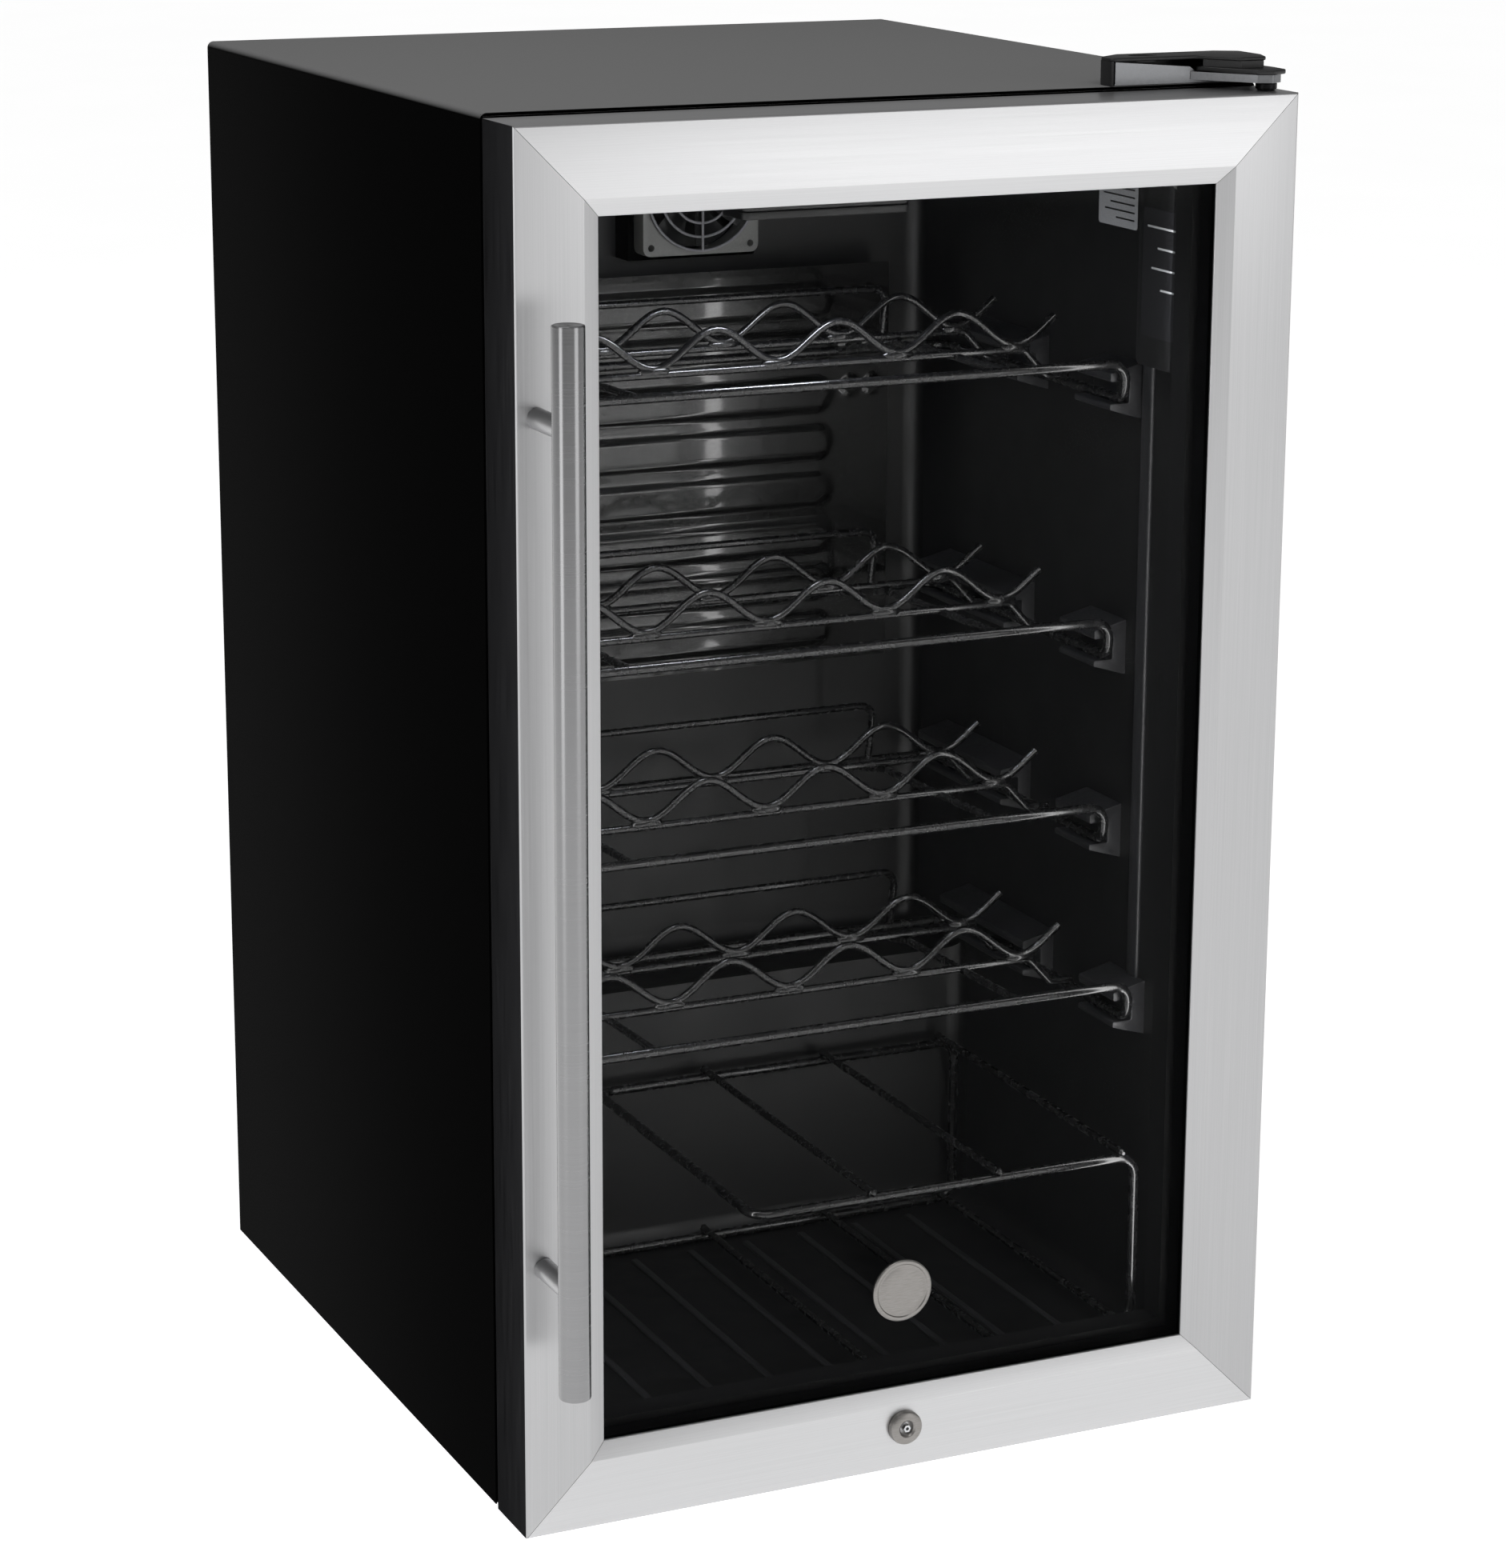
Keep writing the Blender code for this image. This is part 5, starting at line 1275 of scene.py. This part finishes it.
for node in ("foot_front_left", "foot_front_right", "foot_rear_left", "foot_rear_right"):
    foot = spans(node)
    foot_x, foot_depth = middle_of(foot[0]), middle_of(foot[1])
    foot_low, foot_high = foot[2]
    radius = half_of(foot[1])
    disc = foot_disc(foot_x, foot_depth, foot_low, radius)
    pad = [(0.0, 0.0), (0.0148, 0.0), (0.0152, 0.0004), (0.0156, 0.0022), (0.0, 0.0022)]
    thread = [(0.0, 0.0098), (0.0092, 0.0098), (0.0092, 0.0146), (0.0046, 0.0150)]
    for turn in range(THREAD_TURNS):
        thread += [(0.0046, 0.0150 + THREAD_PITCH * turn), (0.0040, 0.0157 + THREAD_PITCH * turn)]
    thread += [(0.0036, foot_high - foot_low), (0.0, foot_high - foot_low)]
    base = at(foot_x, foot_depth, foot_low)
    piece("levelling_" + node, combined(disc, lathe(pad, base), lathe(thread, base)), black_abs,
          node, node)
print("feet are", round(radius * 2000, 1), "mm across with", LOBES, "lobes")

# %% [markdown]
# ## The back
#
# Behind the cooler a hairpin tube sheds the heat. Thin wires are spot-welded to both of its sides
# as fins, and black clips hold it off the steel panel. Below it the compressor hangs in a niche on
# rubber grommets, with a tray above it that dries the melt water, and a copper drier beside it.

# %% Condenser
COIL = spans("condenser_coil")
coil_depth, coil_reach, coil_radius = 0.485, 0.190, 0.0026
coil_low, coil_high, coil_runs = 0.225, COIL[2][1] - coil_radius, 10
riser_x = 0.205
coil_pitch = (coil_high - coil_low) / (coil_runs - 1)
COMPRESSOR_X, COMPRESSOR_DEPTH = 0.080, 0.445
DRIER_X = -0.080
route = [(COMPRESSOR_X + 0.0745, coil_depth - 0.005, 0.060),
         (COMPRESSOR_X + 0.0745, coil_depth, 0.100),
         (riser_x, coil_depth, 0.160), (riser_x, coil_depth, coil_high)]
for run in range(coil_runs):
    level = coil_high - run * coil_pitch
    side = -1 if run % 2 == 0 else 1
    if run:
        route.append((-side * coil_reach, coil_depth, level))
    route.append((side * coil_reach, coil_depth, level))
route += [(coil_reach, coil_depth, 0.195), (DRIER_X, coil_depth, 0.195),
          (DRIER_X, coil_depth, 0.1183)]
tube = wires([(rounded([at(*point) for point in route], 0.018, 8), coil_radius, False)], 14)
fin_radius = 0.0008
fins = []
for x in np.arange(-0.176, 0.177, 0.011):
    for side in (-1, 1):
        depth = coil_depth + side * (coil_radius + fin_radius * 0.7)
        fins.append(([at(x, depth, coil_low - 0.010), at(x, depth, coil_high + 0.002)],
                     fin_radius, False))
piece("hairpin_condenser", combined(tube, wires(fins, 6)), coil_paint, "cabinet", "condenser_coil")
panel_back = spans("rear_panel")[1][1]
clips = [brick((x - 0.006, x + 0.006), (panel_back, coil_depth + coil_radius + 0.0016),
               (coil_low + row * coil_pitch - 0.005, coil_low + row * coil_pitch + 0.005), 0.0010)
         for x in (-0.1645, 0.1705) for row in (1, 4, 8)]
piece("condenser_clips", combined(*clips), black_abs, "cabinet")
print("condenser has", coil_runs, "runs and", len(fins), "fin wires")

# %% Compressor and what sits round it
SHELL = [(0.0, 0.1418), (0.012, 0.1415), (0.022, 0.1403), (0.033, 0.1372), (0.042, 0.1326),
         (0.049, 0.1256), (0.054, 0.1170), (0.0572, 0.1070), (0.0580, 0.0980), (0.0580, 0.0842),
         (0.0606, 0.0838), (0.0610, 0.0830), (0.0610, 0.0795), (0.0606, 0.0788), (0.0580, 0.0785),
         (0.0580, 0.0420), (0.0566, 0.0330), (0.0520, 0.0250), (0.0450, 0.0190), (0.0360, 0.0150),
         (0.0, 0.0122)]
pot = lathe(SHELL, at(COMPRESSOR_X, COMPRESSOR_DEPTH, 0), steps=72)
plate_outline = soft_box((COMPRESSOR_X - 0.075, COMPRESSOR_X + 0.075),
                         (COMPRESSOR_DEPTH - 0.050, COMPRESSOR_DEPTH + 0.050), 0.010)
mounting = sheet([plate_outline], "XY", 0.0130, 0.0160, 0.0008)
piece("welded_compressor", combined(pot, mounting), cabinet_enamel, "cabinet", "compressor")
GROMMET = [(0.0026, 0.0030), (0.0068, 0.0030), (0.0070, 0.0036), (0.0070, 0.0110),
           (0.0062, 0.0122), (0.0062, 0.0170), (0.0068, 0.0178), (0.0062, 0.0196),
           (0.0026, 0.0200), (0.0026, 0.0030)]
mount_places = [(COMPRESSOR_X + sx * 0.064, COMPRESSOR_DEPTH + sy * 0.040)
                for sx in (-1, 1) for sy in (-1, 1)]
grommets = [lathe(GROMMET, at(x, depth, 0), steps=28) for x, depth in mount_places]
piece("compressor_grommets", combined(*grommets), rubber, "cabinet")
stubs = [([at(COMPRESSOR_X + 0.050, COMPRESSOR_DEPTH - 0.030, 0.060),
           at(COMPRESSOR_X + 0.0555, COMPRESSOR_DEPTH - 0.036, 0.060)], 0.0042, False)]
SUCTION = spans("suction_pipe")
suction_x, suction_depth = SUCTION[0][1] - 0.0032, SUCTION[1][0] + 0.0032
suction = rounded([at(COMPRESSOR_X + 0.052, COMPRESSOR_DEPTH - 0.0385, 0.060),
                   at(suction_x, suction_depth, 0.060),
                   at(suction_x, suction_depth, SUCTION[2][1])],
                  0.012, 8)
piece("copper_suction_pipe", wires([(suction, 0.0032, False)] + stubs, 16), copper, "cabinet",
      "suction_pipe")
DRIER = [(0.0, 0.1178), (0.0035, 0.1178), (0.0035, 0.1080), (0.0042, 0.1066), (0.0080, 0.1005),
         (0.0092, 0.0985), (0.0095, 0.0965), (0.0095, 0.0515), (0.0092, 0.0495), (0.0080, 0.0475),
         (0.0042, 0.0414), (0.0035, 0.0400), (0.0035, 0.0300), (0.0, 0.0300)]
piece("spun_copper_drier", lathe(DRIER, at(DRIER_X, coil_depth, 0), steps=32), copper, "cabinet",
      "filter_drier")
TERMINAL, TRAY = spans("terminal_cover"), spans("drip_tray")
terminal_box = brick(*TERMINAL, 0.0035)
lid_line = brick((TERMINAL[0][0] + 0.010, TERMINAL[0][0] + 0.012),
                 (TERMINAL[1][0] - 0.0003, TERMINAL[1][1] + 0.0003),
                 (TERMINAL[2][0] + 0.002, TERMINAL[2][1] + 0.0003), 0.0004)
piece("clipped_terminal_cover", combined(terminal_box, lid_line), black_abs, "cabinet",
      "terminal_cover")
tray_out = soft_box(TRAY[0], TRAY[1], 0.008)
tray_in = soft_box((TRAY[0][0] + 0.002, TRAY[0][1] - 0.002),
                   (TRAY[1][0] + 0.002, TRAY[1][1] - 0.002), 0.006)
tray_wall = sheet([tray_out, tray_in], "XY", TRAY[2][0], TRAY[2][1], 0.0006)
tray_floor = sheet([tray_out], "XY", TRAY[2][0], TRAY[2][0] + 0.0020, 0.0006)
piece("moulded_drip_tray", combined(tray_wall, tray_floor), black_abs, "cabinet", "drip_tray")
print("compressor shell is", round(SHELL[9][0] * 2000), "mm across")

# %% Cord gland and panel screws
GLAND = spans("cord_gland")
gland_x, gland_height = middle_of(GLAND[0]), middle_of(GLAND[2])
gland_profile = [(0.0035, -0.0018), (0.0084, -0.0018), (0.0090, -0.0013), (0.0090, -0.0004),
                 (0.0058, -0.0002), (0.0058, 0.0048), (0.0035, 0.0050), (0.0035, -0.0018)]
piece("rubber_cord_gland", lathe(gland_profile, at(gland_x, 0.5240, gland_height), "Y", 36), rubber,
      "cabinet", "cord_gland")
edge_x = 0.230
screw_spots = [(x, height) for x in (-edge_x, -0.077, 0.077, edge_x) for height in (0.178, 0.792)]
screw_spots += [(x, height) for height in (0.33, 0.48, 0.64) for x in (-edge_x, edge_x)]
screws = [screw_head(at(x, panel_back, height), 0.0034, "Y", -0.0016) for x, height in screw_spots]
piece("panel_screws", combined(*screws), zinc, "cabinet")
print(len(screws), "panel screws")

# %% [markdown]
# ## Floor and studio light
#
# The picture is a catalogue one: white behind, white underneath, and large soft lights. A big
# softbox low on the right is what the top rail mirrors, a high one makes the bright bevels, one at
# the left draws the second band down the handle, and one over the roof lights it on top of its
# painted highlight. Inside, a lamp and two thin strips behind the door's frame pick out the black
# wires on the black liner. The world is white to the eye and a darker grey to the steel, so that the
# brushed frame has something to reflect.

# %% Floor
floor_mesh = bpy.data.meshes.new("pale_floor")
FLOOR_HALF = 30.0
floor_mesh.from_pydata([(-FLOOR_HALF, -FLOOR_HALF, 0), (FLOOR_HALF, -FLOOR_HALF, 0),
                        (FLOOR_HALF, FLOOR_HALF, 0), (-FLOOR_HALF, FLOOR_HALF, 0)], [],
                       [(0, 1, 2, 3)])
floor = bpy.data.objects.new("pale_floor", floor_mesh)
scene.collection.objects.link(floor)
floor_paint = finish("matt_white_studio_floor", "",
                     {"Specular IOR Level": 0.1, "Emission Color": linear("#FFFFFF"),
                      "Emission Strength": 0.79},
                     400.0, ("#F1F1F1", "#F6F6F6"), (0.85, 0.95), 0.02)
floor_mesh.materials.append(floor_paint)
print("floor laid at height", floor_mesh.vertices[0].co.z)

# %% Lights and world
def softbox(name, place, target, size, watts, colour="#FFFFFF"):
    """A rectangular area light that faces a target."""
    data = bpy.data.lights.new(name, "AREA")
    data.shape = "RECTANGLE"
    data.size, data.size_y = size
    data.energy = watts
    data.color = linear(colour)[:3]
    obj = bpy.data.objects.new(name, data)
    scene.collection.objects.link(obj)
    facing = (Vector(target) - Vector(place)).to_track_quat("-Z", "Y").to_matrix().to_4x4()
    obj.matrix_world = Matrix.Translation(place) @ facing
    return obj


middle_of_door = at(0, 0, DOOR_TOP / 2)
softbox("front_key", (1.9, -3.4, 0.9), middle_of_door, (1.8, 1.2), 13)
softbox("high_front", (-0.4, -2.2, 2.8), middle_of_door, (2.0, 0.8), 14)
softbox("side_strip", (-3.2, -1.1, 0.7), middle_of_door, (1.2, 1.8), 13)
softbox("roof_light", (-0.6, 0.6, 3.0), (0, 0.1, 0.8), (1.6, 1.6), 14)
softbox("lamp_light", at(0, 0.137, 0.7270), at(0, 0.240, 0.3), (0.080, 0.020), 0.4, "#F2F6FF")
for side, watts in ((-1, 0.35), (1, 0.2)):
    strip = softbox("inside_strip", at(side * 0.195, 0.062, 0.400), at(-side * 0.05, 0.400, 0.400),
                    (0.012, 0.700), watts)
    strip.visible_camera = False

world = bpy.data.worlds.new("studio")
scene.world = world
world.use_nodes = True
world_tree = world.node_tree
for node in list(world_tree.nodes):
    world_tree.nodes.remove(node)
ray = add_node(world_tree, "ShaderNodeLightPath", {})
to_eye = add_node(world_tree, "ShaderNodeBackground", {"Color": linear("#FFFFFF"),
                                                       "Strength": 1.0})
to_scene = add_node(world_tree, "ShaderNodeBackground", {"Color": linear("#808080"),
                                                         "Strength": 1.0})
chosen = add_node(world_tree, "ShaderNodeMixShader", {0: ray.outputs["Is Camera Ray"],
                                                      1: to_scene.outputs["Background"],
                                                      2: to_eye.outputs["Background"]})
add_node(world_tree, "ShaderNodeOutputWorld", {"Surface": chosen.outputs["Shader"]})
scene.view_settings.view_transform = "Standard"
